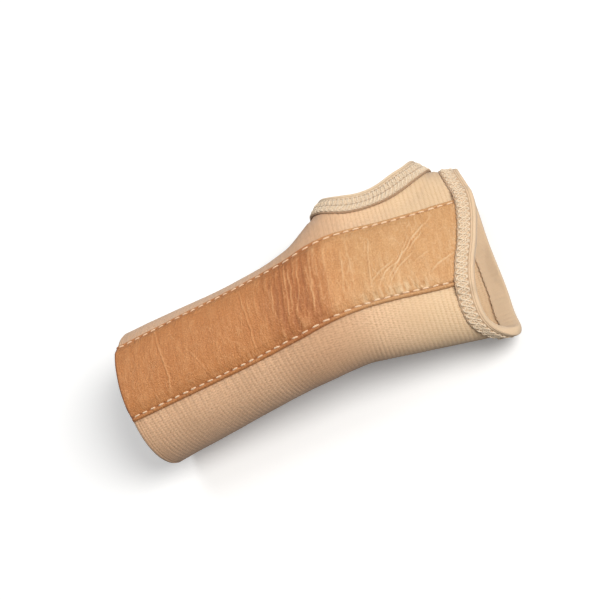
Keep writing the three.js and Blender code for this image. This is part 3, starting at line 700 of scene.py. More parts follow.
def panel_columns(along):
    """Arcs of the panel's columns, closer together near its edges."""
    near = np.array([[0, 0.04, 0.14, 0.3, 0.5, 0.8, 1.15, 1.5, 1.75, 1.95, 2.1, 2.3, 2.6, 3.1]])
    thumb, little = pocket_edges(along[:, None], TRIM)
    left, right = -little + near, thumb - near[:, ::-1]
    middle = left[:, -1:] + linspace(0, 1, 74)[None, 1:-1] * (right[:, :1] - left[:, -1:])
    return concatenate([left, middle, right], 1)


def build_panel():
    start = 0.30
    along = concatenate([[start, 0.34, 0.44, 0.6, 0.85], np.arange(1.2, 181, 0.38)])
    arc = panel_columns(along)
    turn = turn_at(along, arc)
    along = np.repeat(along[:, None], arc.shape[1], 1)
    keep, along, turn = snap(along, turn, finger_edge(turn) - 1.6 - along)
    height, tone = panel_relief(along, arc)
    thumb, little = pocket_edges(along, TRIM)
    edge = minimum(thumb - arc, arc + little)
    thick = 0.60 + 0.35 * smooth(edge / 3)
    middle = height - thick / 2 - 0.30 * (1 - smooth(edge / 1.3))
    half = rounded(edge, 0.65) * rounded(along - start, 0.65) * thick / 2
    outer, inner = (skin(along, turn, middle + side * half, OUTER + 1.3) for side in (1, -1))
    # fold: painted highlight and shade on the folds; pit and edge: painted shade in the stitch
    # groove, along the edges and along the forearm end
    attrs = {
        "fold": np.clip(tone, -1, 1),
        "pit": share(bell(edge - INSET, 0.5) * (0.55 + 0.45 * stitch_wave(along))),
        "edge": share(exp(-edge / 0.45) + 1.6 * exp(-(along - start) / 0.55)),
    }
    return slab("palm_panel", outer, inner, stack([along, arc], -1), keep, attrs)


def build_topstitch(name, side):
    """side is 1 along the thumb edge, -1 along the little finger edge."""
    random = np.random.RandomState(5 if side > 0 else 6)
    count = 11
    u = linspace(0, 1, count)
    runs = []
    start = FIRST_STITCH
    while True:
        length = 2.85 + random.uniform(-0.35, 0.25)
        along = linspace(start - 0.1, start + length + 0.1, count)
        edge = float(pocket_edges(start, TRIM)[0 if side > 0 else 1])
        arc = (side * (edge - INSET) + side * random.uniform(-0.14, 0.14)
               + linspace(-1, 1, count) * random.uniform(-0.16, 0.16))
        turn = turn_at(along, arc[:, None])[:, 0]
        if along[-1] > finger_edge(turn[-1]) - 8.0:
            break
        height, _ = panel_relief(along, arc)
        off = (height.max() * 0.25 + height * 0.75 + 0.20 * sin(pi * u) ** 0.6
               - 0.42 * abs(2 * u - 1) ** 5)
        path = skin(along, turn, off)
        up = skin(along, turn, off + 1.0) - path
        runs.append((path, up, 0.35 + random.uniform(-0.03, 0.03), 1.12, False))
        start += STITCH
    return threads(name, runs, sides=8)


# ---------------------------------------------------------------- lining, stay, label
def build_lining():
    start = 1.1
    along = concatenate([[start, 1.2, 1.5], np.arange(2.0, 176, 0.8)])
    across = linspace(-1, 1, 60)
    thumb, little = pocket_edges(along[:, None], 0.8)
    arc = where(across > 0, across * thumb, across * little)
    turn = turn_at(along, arc)
    along = np.repeat(along[:, None], len(across), 1)
    keep, along, turn = snap(along, turn, finger_edge(turn) - 9.9 - along)
    sag = LINING_CROWN * (1 - across[None] ** 4) * (1 - smooth((along - 146) / 15))
    side = minimum(thumb - arc, arc + little)
    wrinkle = (0.10 * fbm(along / 7, arc / 9, 81, 3)
               + 0.10 * exp(-side / 2.5) * sin(TAU * along / STITCH))
    middle = -SLEEVE_WALL - GAP - 0.05 - sag + minimum(wrinkle, 0) - 0.32
    half = 0.3 * rounded(minimum(side, along - start), 0.4)
    outer, inner = (skin(along, turn, middle + sign * half, OUTER) for sign in (1, -1))
    return slab("pocket_lining", outer, inner, stack([along, arc], -1), keep)


def bar(name, start, end, step, spread, low, high, edge_round, corner=9.0):
    """A strip along the pocket between offs low and high, rounded at its edges and corners.
    spread is added to the stay's half width."""
    near = np.array([0, 0.03, 0.1, 0.22, 0.4, 0.65, 1.0, 1.5, 2.1, 2.8, 3.6, 4.5, 5.5, 6.7, 8.0,
                     9.5])
    along = np.arange(start, end, step)
    along = concatenate([start + near, along[along > start + 10]])
    along = concatenate([along[along < end - 10], (end - near)[::-1]])
    outwards = np.array([0.93, 0.955, 0.975, 0.99, 0.998, 1])
    across = concatenate([-outwards[::-1], linspace(-0.9, 0.9, 25), outwards])
    half = 12 + 3 * smooth((along - 100) / 22) + spread
    for inward in (along - start, end - along):
        half = half * (1 - (1 - rounded(inward, corner)) * 0.62)
    arc = half[:, None] * across[None]
    turn = turn_at(along, arc)
    along = np.repeat(along[:, None], len(across), 1)
    edge = minimum(half[:, None] * (1 - abs(across[None])), minimum(along - start, end - along))
    middle, thick = (low + high) / 2, (high - low) / 2 * rounded(edge, edge_round)
    return slab(name, skin(along, turn, middle + thick), skin(along, turn, middle - thick),
                stack([along, arc], -1))


STAY_START, STAY_END = 7.0, 153.0
TIP_GROWTH = 0.75  # how far the dipped tips stand out round the bar


def build_stay():
    metal = bar("stay_bar", STAY_START, STAY_END, step=1.2, spread=0, low=-1.2, high=0.2,
                edge_round=0.45)
    dip = dict(step=0.6, spread=TIP_GROWTH, low=-1.2 - TIP_GROWTH, high=0.2 + TIP_GROWTH,
               edge_round=0.9)
    arm_tip = bar("stay_tip_forearm_end_dipped", STAY_START - TIP_GROWTH, 16.0, **dip)
    palm_tip = bar("stay_tip_palm_end_dipped", 144.0, STAY_END + TIP_GROWTH, **dip)
    return metal, arm_tip, palm_tip


def build_label():
    """A tag inside the sleeve, between the little finger side and the back, curling inwards."""
    first, last = 228, 248  # degrees
    along, angle = grid(linspace(4.5, 22, 50), linspace(first, last, 34))
    curl = (0.9 * smooth((along - 9) / 13) ** 2
            + 0.15 * fbm(along / 7, angle / 6, 91) * smooth((along - 6) / 5))
    stitched = 0.10 * bell(along - 5.6, 0.35)
    off = -SLEEVE_WALL - 0.36 - curl + stitched
    return slab("care_label_blank", skin(along, angle * RAD, off - 0.16),
                skin(along, angle * RAD, off), stack([along, (angle - first) * 0.5], -1))


# ---------------------------------------------------------------- bindings
TAPE_LOW = -SLEEVE_WALL - 1.35  # off of the tape's inner face
OUTSIDE, FOLD, INSIDE, TAIL = range(4)  # parts of the tape's section


def fold_cords(depth):
    return abs(cos(pi * (depth - 0.1) / 0.92)) ** 0.7


@dataclass
class Tape:
    """A tape folded over a rim. `run` is distance round the rim, `depth` across the tape."""
    name: str
    rim: Rim
    width: float
    panel_lift: float  # rise where it crosses the panel
    lanes: list  # depths of the needle lines
    pitch: float  # stitch length wanted; made to fit the rim
    seed: int
    ridge_span: float  # how far in from the edge the fold's cords reach
    wobble: float
    rise: float  # off of the outer face
    taper: float  # how much lower the outer face is at its stitched edge
    tail: float  # off of the layer hidden under the outer face

    def __post_init__(self):
        self.count = max(1, round(self.rim.total / self.pitch))
        self.pitch = self.rim.total / self.count

    def top(self, depth):
        return self.rise - self.taper * smooth((depth - 1.5) / (self.width - 2.0))

    def profile(self):
        """The section's depths, offs and parts, in order round it."""
        width = self.width
        out_depth = concatenate([[width, width + 0.05, width, width - 0.10],
                                 np.arange(width - 0.25, 0.80, -0.24)])
        out_off = self.top(out_depth)
        out_off[:8] -= np.array([0.72, 0.50, 0.30, 0.17, 0.10, 0.05, 0.02, 0.0])
        middle = (self.rise + TAPE_LOW) / 2
        angle = linspace(0, pi, 15)[1:-1]
        fold_depth = 0.75 - 1.15 * sin(angle)
        fold_off = middle + (self.rise - middle) * cos(angle)
        in_depth = linspace(0.75, width - 0.4, 14)
        in_off = TAPE_LOW + 0.45 * smooth((in_depth - 1.5) / (width - 2.0))
        tail_depth = [width - 0.1, width, width - 0.1, width * 0.66, width * 0.33, 0.22,
                      0.22, width * 0.33, width * 0.66]
        tail_off = [TAPE_LOW + 0.60, TAPE_LOW + 0.9, TAPE_LOW + 1.2, -SLEEVE_WALL - 0.15,
                    -SLEEVE_WALL - 0.20, -SLEEVE_WALL - 0.25] + [self.tail] * 3
        depths = [out_depth, fold_depth, in_depth, tail_depth]
        parts = np.repeat([OUTSIDE, FOLD, INSIDE, TAIL], [len(depth) for depth in depths])
        return (concatenate(depths), concatenate([out_off, fold_off, in_off, tail_off]), parts)

    def wander(self, run):
        """Sideways drift of the whole tape, periodic round the rim."""
        x = TAU * run / self.rim.total
        random = np.random.RandomState(self.seed)
        return self.wobble * sum(
            random.uniform(-1, 1) / k ** 0.6 * sin(k * x + random.uniform(0, 6.28))
            for k in (2, 3, 5, 7, 9, 12))

    def relief(self, run, depth):
        """Texture of the outer face."""
        beat = cos(TAU * run / self.pitch)
        cords = (fold_cords(depth) - 0.6) * 0.26
        height = cords * (1 - smooth((depth - self.ridge_span + 0.3) / 0.5))
        for lane in self.lanes:
            height = height - (0.16 + 0.10 * beat) * bell(depth - lane, 0.32)
        # pads between the stitch lines
        first, last = self.lanes[0], self.lanes[-1]
        between = smooth((depth - first) / 0.5) * (1 - smooth((depth - last) / 0.5))
        pads = 0.10 - 0.09 * beat + 0.05 * fbm(run / 1.7, depth / 1.5, self.seed + 3)
        height = height + between * pads
        height = height + 0.05 * fbm(run / 3.2, depth / 4.0, self.seed + 5)
        return height + 0.04 * cos(TAU * run / 0.8) * smooth((depth - self.ridge_span) / 0.6)

    def place(self, run, depth, off):
        depth = depth + self.wander(run) * np.clip((depth + 1) / 3, 0.35, 1)
        known = self.rim.depth
        along, turn = self.rim.at(run, np.clip(depth, known[0], known[-1]))
        lift = self.panel_lift * over_panel(along, turn)
        off = off + lift * smooth((off - TAPE_LOW) / (SLEEVE_WALL + 1.45))
        return skin(along, turn, off, OUTER)

    def build(self, step):
        total, width = self.rim.total, self.width
        runs = linspace(0, total, int(total / step), endpoint=False)
        depths, offs, parts = self.profile()
        run, depth = grid(runs, depths)
        relief = self.relief(run, depth)
        seam = 0.08 * abs(sin(pi * run / self.pitch))
        off = offs + np.select(
            [parts == OUTSIDE, parts == FOLD, parts == INSIDE],
            [relief * np.clip((width + 0.1 - depth) / 0.5, 0.3, 1), relief * 0.8,
             -0.06 * cos(TAU * run / 0.9) - seam], 0)
        # the stitches draw the cut edge into scallops
        scallop = 0.32 * abs(sin(pi * run / self.pitch)) + 0.12 * fbm(run / 4, 0, self.seed + 9)
        depth = depth + where(depth > width - 1.2, scallop * share((depth - width + 1.2) / 1.2), 0)
        points = self.place(run, depth, off)
        girth = travelled_round(stack([depths, offs], 1))
        uv = corner_uvs(stack(grid(np.append(runs, total), girth), -1))

        # low: painted shade in the needle lines, between the fold's cords and along the stitched
        # edge
        low = np.max([bell(depth - lane, 0.35) for lane in self.lanes], axis=0)
        low = maximum(low, 1.25 * smooth((depth - width + 0.42) / 0.25))
        ridge = where(depth < self.ridge_span, 1 - fold_cords(depth), 0)
        low = where(parts == OUTSIDE, share(low * 0.85 + ridge * 0.85), 0)
        faces = grid_quads(*run.shape, wrap_rows=True, wrap_cols=True)
        return make(self.name, points.reshape(-1, 3), faces, uv, {"low": low})

    def thread(self, run, depth, above, radius, wide, closed):
        """A thread lying `above` the outer face."""
        top = self.top(depth) + self.relief(run, depth) + above
        path = self.place(run, depth, top)
        up = self.place(run, depth, top + 1.0) - path
        return path, up, radius, wide, closed


def chain_runs(tape, random):
    """Two pairs of threads that cross along the tape, the wide pair first. Draws nothing."""
    first, last = tape.lanes[0], tape.lanes[-1]
    middle, swing = (first + last) / 2, (last - first) / 2 * 0.92
    run = linspace(0, tape.rim.total, tape.count * 14, endpoint=False)
    phase = pi * run / tape.pitch
    runs = []
    for k, (sign, extra) in enumerate(((1, 0), (-1, 0.09))):
        depth = (middle + sign * swing * sin(phase) * (1 + 0.12 * sin(3.3 * phase))
                 + 0.10 * fbm(run / 2.3, k, tape.seed + 50 + k))
        above = 0.20 + extra + 0.12 * sign * sin(2 * phase + 0.8)
        runs.append(tape.thread(run, depth, above, radius=0.27, wide=1.15, closed=True))
    phase = TAU * run / tape.pitch
    for k, sign in enumerate((1, -1)):
        depth = (middle + sign * swing * 0.42 * sin(phase + 0.6)
                 + 0.08 * fbm(run / 1.9, k, tape.seed + 60 + k))
        above = 0.15 + 0.10 * sign * sin(2 * phase)
        runs.append(tape.thread(run, depth, above, radius=0.20, wide=1.1, closed=True))
    return runs


def tick_runs(tape, random):
    """Between each two lanes, a crossing pair of zigzags and a row of slanted ticks."""
    run = linspace(0, tape.rim.total, tape.count * 10, endpoint=False)
    u = linspace(-1, 1, 9)
    # slant, reach and radius of each row's ticks
    rows = ((0.10, 0.82, 0.27), (0.42, 0.88, 0.30))
    runs = []
    for row, (slant, reach, radius) in enumerate(rows):
        first, last = tape.lanes[row], tape.lanes[row + 1]
        middle, swing = (first + last) / 2, (last - first) / 2 * 0.86
        phase = TAU * run / tape.pitch + row * 1.7
        zigzag = np.arcsin(sin(phase) * 0.98) / 1.37
        drift = 0.08 * fbm(run / 1.6, row, tape.seed + 50 + row)
        for sign in (1, -1):
            runs.append(tape.thread(run, middle + sign * swing * zigzag + drift,
                                    0.10 + 0.05 * sign * cos(phase),
                                    radius=0.15, wide=1.15, closed=True))
        for k in range(tape.count):
            tick = ((k + 0.5 + 0.31 * row) * tape.pitch + slant * tape.pitch * u
                    + random.uniform(-0.08, 0.08))
            depth = middle + swing * reach * u + random.uniform(-0.07, 0.07)
            above = 0.18 + 0.14 * (1 - u * u) - 0.24 * u ** 6
            runs.append(tape.thread(tick, depth, above, radius, wide=1.4, closed=False))
    return runs


def build_coverstitch(tape, name, cover_runs):
    random = np.random.RandomState(tape.seed + 40)
    runs = cover_runs(tape, random)
    # needle lines: short stitches that dip into the tape
    u = linspace(0, 1, 8)
    above = 0.16 + 0.16 * sin(pi * u) ** 0.6 - 0.22 * abs(2 * u - 1) ** 4
    for lane in tape.lanes:
        for k in range(tape.count):
            run = (k * tape.pitch + tape.pitch * linspace(0.10, 0.86, 8)
                   + random.uniform(-0.05, 0.05))
            depth = lane + random.uniform(-0.06, 0.06)
            runs.append(tape.thread(run, depth, above, radius=0.22, wide=1.15, closed=False))
    return threads(name, runs)


# ---------------------------------------------------------------- material tools
def srgb(colour):
    """Linear colour with alpha from an 8-bit sRGB triple."""
    return tuple((c / 255 / 12.92 if c / 255 <= 0.04045 else ((c / 255 + 0.055) / 1.055) ** 2.4)
                 for c in colour) + (1,)


class Val:
    """A value in a node tree, with arithmetic."""

    def __init__(self, look, out):
        self.look, self.out = look, out

    def math(self, kind, *others, clamp=False):
        inputs = dict(enumerate((self,) + others))
        return Val(self.look, self.look.node("Math", inputs, operation=kind,
                                             use_clamp=clamp).outputs[0])

    def __add__(self, other): return self.math("ADD", other)
    def __sub__(self, other): return self.math("SUBTRACT", other)
    def __mul__(self, other): return self.math("MULTIPLY", other)
    def __truediv__(self, other): return self.math("DIVIDE", other)
    def power(self, other): return self.math("POWER", other)
    def sin(self): return self.math("SINE")
    def abs(self): return self.math("ABSOLUTE")
    def floor(self): return self.math("FLOOR")
    def clamp(self): return self.math("ADD", 0.0, clamp=True)

    def turns(self, period):
        return self * (TAU / period)

    def wave(self):
        """Sine of this phase, from 0 to 1."""
        return self.sin() * 0.5 + 0.5

    def ramp(self, start, length):
        return ((self - start) / length).clamp()

    def hump(self, centre, half):
        """1 at centre, falling to 0 at half away."""
        return (((self - centre) / half).power(2.0) * -1.0 + 1.0).clamp()


class Look:
    """A material with one principled shader."""

    def __init__(self, name):
        self.material = bpy.data.materials.new(name)
        self.material.use_nodes = True
        self.tree = self.material.node_tree
        self.tree.nodes.clear()
        out = self.node("OutputMaterial")
        self.shader = self.node("BsdfPrincipled")
        self.tree.links.new(self.shader.outputs[0], out.inputs[0])

    def feed(self, socket, value):
        if isinstance(value, Val):
            self.tree.links.new(value.out, socket)
        else:
            socket.default_value = value

    def node(self, kind, inputs=None, **settings):
        made = self.tree.nodes.new("ShaderNode" + kind)
        for key, value in settings.items():
            setattr(made, key, value)
        for key, value in (inputs or {}).items():
            self.feed(made.inputs[key], value)
        return made

    def value(self, output, kind, inputs=None, **settings):
        return Val(self, self.node(kind, inputs, **settings).outputs[output])

    def set(self, **values):
        for key, value in values.items():
            self.feed(self.shader.inputs[key.replace("_", " ")], value)

    def uv(self):
        split = self.node("SeparateXYZ", {0: self.value(0, "UVMap", uv_map="UVMap")})
        return Val(self, split.outputs[0]), Val(self, split.outputs[1])

    def vector(self, x, y):
        return self.value(0, "CombineXYZ", {0: x, 1: y, 2: 0.0})

    def noise(self, x, y, scale=1.0, detail=3, rough=0.55):
        return self.value(0, "TexNoise", {"Scale": scale, "Detail": detail, "Roughness": rough,
                                          "Vector": self.vector(x, y)})

    def cells(self, x, y, scale=1.0, feature="F1"):
        return self.value("Distance", "TexVoronoi",
                          {"Scale": scale, "Vector": self.vector(x, y)}, feature=feature)

    def cracks(self, x, y):
        return self.cells(x, y, feature="DISTANCE_TO_EDGE")

    def attr(self, name):
        return self.value("Fac", "Attribute", attribute_name=name)

    def mix(self, factor, first, second, kind="MIX"):
        """Colours are Vals, 8-bit sRGB triples or linear colours with alpha."""
        first, second = (srgb(c) if isinstance(c, tuple) and len(c) == 3 else c
                         for c in (first, second))
        return self.value(2, "Mix", {0: factor, 6: first, 7: second}, data_type="RGBA",
                          blend_type=kind, clamp_factor=True)

    def bumped(self, height, strength, distance):
        """Adds the bump and gives the finished material."""
        bump = self.value(0, "Bump", {"Strength": strength, "Distance": distance,
                                      "Height": height})
        self.feed(self.shader.inputs["Normal"], bump)
        return self.material


# ---------------------------------------------------------------- materials
def elastic_look():
    look = Look("knitted_elastic")
    along, arc = look.uv()
    valley = look.attr("valley")
    # knit loops: dots along each cord, offset from one cord to the next
    dots = (arc.turns(1.15) + (along / RIB).floor() * 2.2).wave()
    twill = (arc.turns(0.62) + along.turns(1.0)).wave()
    fuzz = look.noise(along * 0.9, arc * 2.6, scale=1.6, detail=4, rough=0.7)
    blot = look.noise(along * 0.06, arc * 0.05, rough=0.5)
    speck = look.noise(along * 1.1, arc * 1.0, scale=0.95, rough=0.65)
    # painted light: the elastic's colours are lighter at the hand end than at the forearm end
    hand = along.ramp(100.0, 50.0)
    light = look.mix(hand, (234, 190, 151), (233, 202, 164))
    dark = look.mix(hand, (176, 132, 98), (202, 162, 120))
    # shade: painted shade in the cords' valleys, mixed with the knit's own dots, twill, fuzz and
    # flecks
    shade = (valley * (hand * 0.26 + 0.26) + (dots * -0.30 + 0.27) + (twill * -0.14 + 0.06)
             + (fuzz - 0.5) * 0.7 + (speck - 0.5) * (hand * -1.0 + 2.3)).clamp()
    # facing is 1 where the surface is seen side on; the layers below darken it there as painted
    # shade
    facing = look.value("Facing", "LayerWeight", {"Blend": 0.45})
    # factor and colour of each layer: painted shade across the wrist, blots, painted shade in the
    # forearm band's cord valleys, painted shade where the sleeve is seen side on
    layers = [
        (along.hump(97.0, 24.0) * 0.42, (178, 134, 98)),
        ((blot - 0.42) * 1.4, look.mix(hand, (206, 164, 127), (226, 192, 151))),
        (valley * (along * -1.0 + 5.2).clamp() * 0.45, (150, 112, 82)),
        (facing.power(3.0) * (hand * 0.22 + 0.30), (132, 104, 84)),
    ]
    colour = look.mix(shade, light, dark)
    for factor, tint in layers:
        colour = look.mix(factor, colour, tint)
    look.set(Base_Color=colour, Roughness=0.86, Sheen_Weight=0.25, Sheen_Roughness=0.5,
             Specular_IOR_Level=0.25, Subsurface_Weight=0.06,
             Subsurface_Radius=(0.0012, 0.0008, 0.0005), Subsurface_Scale=1.0)
    return look.bumped(dots * 0.5 + twill * 0.35 + fuzz * 0.8, strength=0.9, distance=0.00012)


def leather_look():
    look = Look("leatherette")
    along, arc = look.uv()
    fold = look.attr("fold")
    # painted light: the panel's colours are lighter at the hand end than at the forearm end
    hand = along.ramp(97.0, 26.0)
    # wrist is 1 across the wrist bend; its darkening below is painted shade
    wrist = along.hump(94.0, 15.0)
    # grain, from small to large
    fine = look.cells(along * 1.1, arc, scale=4.6)
    grain = look.cells(along, arc * 0.9, scale=2.3)
    grainy = look.noise(along * 1.15, arc * 1.05, scale=0.95, detail=4, rough=0.7)
    across = look.noise(along * 1.15, arc * 0.72, detail=5, rough=0.62)
    cloud = look.noise(along * 0.07, arc * 0.09)
    # cells and lines stretched across the panel, bent by a slow drift
    drift = look.noise(along * 0.12, arc * 0.12, detail=2, rough=0.5)
    web = look.cracks(along * 0.9, arc * 0.22)
    lines = look.cracks(along * 0.72 + arc * -0.06 + drift * 1.6, arc * 0.15)
    patches = look.noise(along * 0.16, arc * 0.11, detail=2, rough=0.5)
    lines = (lines * -15.0 + 1.0).clamp() * (patches * 3.2 - 1.25).clamp()
    small = look.cracks(along * 1.15 + arc * -0.08 + drift * 2.2, arc * 0.92)
    small = (small * -6.0 + 1.0).clamp()
    beads = look.cells(along * 1.25 + drift * 1.4, arc * 1.05 + drift)
    strand = look.noise(along * 0.80 + arc * -0.064, arc * 0.13, detail=4, rough=0.6)
    close = look.noise(along * 0.95 + arc * -0.07 + drift * 1.2, arc * 0.085, rough=0.6)
    # factor, then one colour or a forearm and a hand colour
    layers = [
        # painted shade across the wrist bend
        (wrist * 0.90, (172, 106, 57)),
        ((cloud - 0.42) * 1.1, (192, 128, 78), (206, 150, 98)),
        ((across - 0.52) * 1.3, (220, 162, 112), (232, 184, 134)),
        ((across * -1.0 + 0.46) * 1.3, (168, 104, 60), (190, 132, 82)),
        ((grainy - 0.50) * 2.6, (226, 170, 120), (238, 192, 144)),
        ((grainy * -1.0 + 0.48) * 2.6, (166, 102, 58), (188, 130, 80)),
        ((strand - 0.54) * 0.8, (226, 168, 120), (236, 190, 142)),
        ((strand * -1.0 + 0.45) * 0.9, (172, 108, 66), (192, 134, 84)),
        ((beads * -1.6 + 0.62).clamp() * 0.26, (228, 172, 122), (240, 196, 148)),
        (small * 0.34, (158, 95, 54), (184, 124, 76)),
        # painted shade in the troughs of the wrist's fine crinkles and painted highlight on their
        # tops
        ((close * -4.5 + 2.15).clamp() * wrist * 0.62, (138, 82, 46)),
        ((close * 4.5 - 2.55).clamp() * wrist * 0.45, (216, 152, 100)),
        (lines * 0.50, (232, 180, 132), (244, 204, 160)),
        # fold: painted highlight on the tops of folds, crinkles and puckers, painted shade in
        # furrows and across the wrist
        (fold.clamp() * 0.60, (234, 182, 134), (243, 208, 164)),
        ((fold * -1.0).clamp() * 0.62, (156, 95, 55)),
        # painted shade in the stitch line's groove, along the forearm end and along the panel's
        # edges
        (look.attr("pit") * 0.60, (132, 76, 42)),
        ((along * -0.9 + 1.35).clamp() * 0.75, (112, 62, 38)),
        (look.attr("edge").clamp() * 0.55, (128, 74, 44)),
    ]
    colour = look.mix(hand, (202, 135, 80), (215, 158, 103))
    for factor, *tints in layers:
        tint = look.mix(hand, *tints) if len(tints) == 2 else tints[0]
        colour = look.mix(factor, colour, tint)
    balance = look.mix(hand, (1.06, 1.01, 0.91, 1), (0.985, 1.03, 1.045, 1))
    colour = look.mix(1.0, colour, balance, "MULTIPLY")
    look.set(Base_Color=colour, Roughness=(across * 0.22 + 0.40 + fold.abs() * 0.06).clamp(),
             Specular_IOR_Level=0.42, Coat_Weight=0.10, Coat_Roughness=0.38)
    height = (grain * 0.45 + fine * 0.25 + across * 0.9 + strand * 0.6 + grainy * 1.5 + web * 0.4
              + lines * 0.9 - small * 0.7 - beads * 0.5 + close * wrist * 1.6)
    return look.bumped(height, strength=0.8, distance=0.0002)


def tape_look(name, light, dark, low_shade):
    """low_shade is how far the painted shade in the stitch lines, the furrows and along the
    stitched edge darkens.
    """
    look = Look(name)
    run, girth = look.uv()
    knit = (girth.turns(0.55) + run.turns(0.9).sin() * 0.8).wave()
    rib = run.turns(0.72).wave()
    fuzz = look.noise(run * 1.6, girth * 1.8, scale=1.3, detail=4, rough=0.7)
    shade = ((knit * -0.25 + 0.2) + (rib * -0.16 + 0.08) + (fuzz - 0.5) * 0.8).clamp()
    colour = look.mix(shade, light, dark)
    colour = look.mix(look.attr("low") * low_shade, colour, (150, 112, 80))
    look.set(Base_Color=colour, Roughness=0.82, Sheen_Weight=0.25, Sheen_Roughness=0.5,
             Specular_IOR_Level=0.28, Subsurface_Weight=0.06,
             Subsurface_Radius=(0.001, 0.0007, 0.0005), Subsurface_Scale=1.0)
    return look.bumped(knit * 0.7 + rib * 0.4 + fuzz * 0.7, strength=0.9, distance=0.0001)


def thread_look(name, light, dark):
    look = Look(name)
    run, girth = look.uv()
    ply = (run.turns(0.55) + girth.turns(1.0)).wave()
    hair = look.noise(run * 6.0, girth * 9.0, detail=2, rough=0.6)
    shade = (ply * -0.5 + 0.45 + (hair - 0.5) * 0.6).clamp()
    look.set(Base_Color=look.mix(shade, light, dark), Roughness=0.55, Sheen_Weight=0.3,
             Specular_IOR_Level=0.4)
    return look.bumped(ply + hair * 0.4, strength=0.8, distance=0.00012)


def lining_look():
    look = Look("woven_lining")
    along, arc = look.uv()
    warp, weft = along.turns(0.7).wave(), arc.turns(0.7).wave()
    fuzz = look.noise(along, arc, scale=2.2, detail=4, rough=0.7)
    shade = (warp * 0.35 + weft * 0.35 + (fuzz - 0.5) * 0.6).clamp()
    look.set(Base_Color=look.mix(shade, (226, 200, 168), (190, 158, 124)), Roughness=0.9,
             Sheen_Weight=0.2, Specular_IOR_Level=0.2)
    return look.bumped(warp * weft + fuzz * 0.5, strength=0.8, distance=0.00012)


def metal_look():
    look = Look("stay_aluminium")
    along, arc = look.uv()
    brush = look.noise(along * 0.25, arc * 9.0, detail=4, rough=0.6)
    scuff = look.noise(along * 0.3, arc * 0.4, detail=4, rough=0.6)
    look.set(Base_Color=look.mix(brush, (172, 174, 178), (214, 216, 219)), Metallic=1.0,
             Roughness=(brush * 0.20 + scuff * 0.15 + 0.16).clamp())
    return look.bumped(brush, strength=0.35, distance=0.00004)


def vinyl_look():
    look = Look("dipped_vinyl")
    along, arc = look.uv()
    dip = look.noise(along * 0.5, arc * 0.35, rough=0.5)
    look.set(Base_Color=look.mix(dip, (222, 214, 200), (238, 232, 220)),
             Roughness=(dip * 0.16 + 0.26).clamp(), Subsurface_Weight=0.25,
             Subsurface_Radius=(0.001, 0.001, 0.0008), Subsurface_Scale=1.0,
             Specular_IOR_Level=0.5)
    return look.bumped(dip, strength=0.5, distance=0.0003)


def label_look():
    look = Look("satin_label")
    along, arc = look.uv()
    warp, weft = along.turns(0.33).wave(), arc.turns(0.5).wave()
    uneven = look.noise(along, arc, scale=1.5, rough=0.6)
    shade = (warp * weft + (uneven - 0.5) * 0.4).clamp()
    look.set(Base_Color=look.mix(shade, (246, 244, 238), (226, 222, 213)), Roughness=0.38,
             Sheen_Weight=0.3, Specular_IOR_Level=0.45)
    return look.bumped(warp * 0.5 + weft * 0.5, strength=0.5, distance=0.00005)


# ---------------------------------------------------------------- the pieces
# the bodies at the wrist's two ends; dress only checks that a bend is given
ARM = ("forearm", "hand")


def dress(obj, material, slot, *nodes, body=None, bend=None):
    """Material, hidden model parts and a frame link: a piece given bend is baked where it
    stands with no link, any other rides on one body.
    """
    obj.data.materials.append(material)
    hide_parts(*nodes)
    if bend:
        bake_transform(obj)
    else:
        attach(obj, body)


ELASTIC, LEATHER, LINING = elastic_look(), leather_look(), lining_look()
HAND_TAPE = tape_look("hand_tape", (228, 199, 165), (186, 154, 120), low_shade=0.62)
THUMB_TAPE = tape_look("thumb_tape", (229, 204, 172), (184, 152, 118), low_shade=0.75)
THREAD = thread_look("polyester_thread", (248, 216, 180), (212, 164, 120))
COVER = thread_look("textured_thread", (242, 221, 192), (204, 175, 142))
THUMB_COVER = thread_look("thumb_textured_thread", (245, 226, 199), (196, 166, 132))

dress(build_sleeve(), ELASTIC, "elastic", "sleeve_forearm", "sleeve_hand", bend=ARM)
dress(build_panel(), LEATHER, "leatherette", "pocket_panel_forearm", "pocket_panel_hand",
      bend=ARM)
dress(build_lining(), LINING, "lining", "pocket_lining_forearm", "pocket_lining_hand", bend=ARM)
for side, word in ((1, "thumb"), (-1, "little_finger")):
    name = f"topstitch_{word}_side"
    dress(build_topstitch(name, side), THREAD, "thread", f"{name}_forearm", f"{name}_hand",
          bend=ARM)

hand_tape = Tape("hand_edge_tape", FINGER, width=8.7, panel_lift=1.75, lanes=[2.9, 7.9],
                 pitch=2.9, seed=301, ridge_span=2.7, wobble=0.12, rise=1.05, taper=0.40,
                 tail=-0.10)
thumb_tape = Tape("thumb_edge_tape", THUMB, width=8.9, panel_lift=0.0, lanes=[2.45, 5.3, 8.45],
                  pitch=1.95, seed=302, ridge_span=2.2, wobble=0.10, rise=0.50, taper=0.18,
                  tail=-0.55)
dress(hand_tape.build(step=0.36), HAND_TAPE, "binding_tape", "hand_binding", body="hand")
dress(build_coverstitch(hand_tape, "hand_edge_coverstitch", chain_runs), COVER, "thread",
      "hand_binding_coverstitch", body="hand")
dress(thumb_tape.build(step=0.34), THUMB_TAPE, "binding_tape", "thumb_binding", body="hand")
dress(build_coverstitch(thumb_tape, "thumb_edge_coverstitch", tick_runs), THUMB_COVER, "thread",
      "thumb_binding_coverstitch", body="hand")

stay, tip_arm, tip_palm = build_stay()
dress(stay, metal_look(), "stay_metal", "stay_shank", "stay_spoon",
      bend=("stay_shank", "stay_spoon"))
VINYL = vinyl_look()
dress(tip_arm, VINYL, "vinyl", "stay_tip_forearm_end", body="stay_shank")
dress(tip_palm, VINYL, "vinyl", "stay_tip_palm_end", body="stay_spoon")
dress(build_label(), label_look(), "label", "care_label", body="forearm")


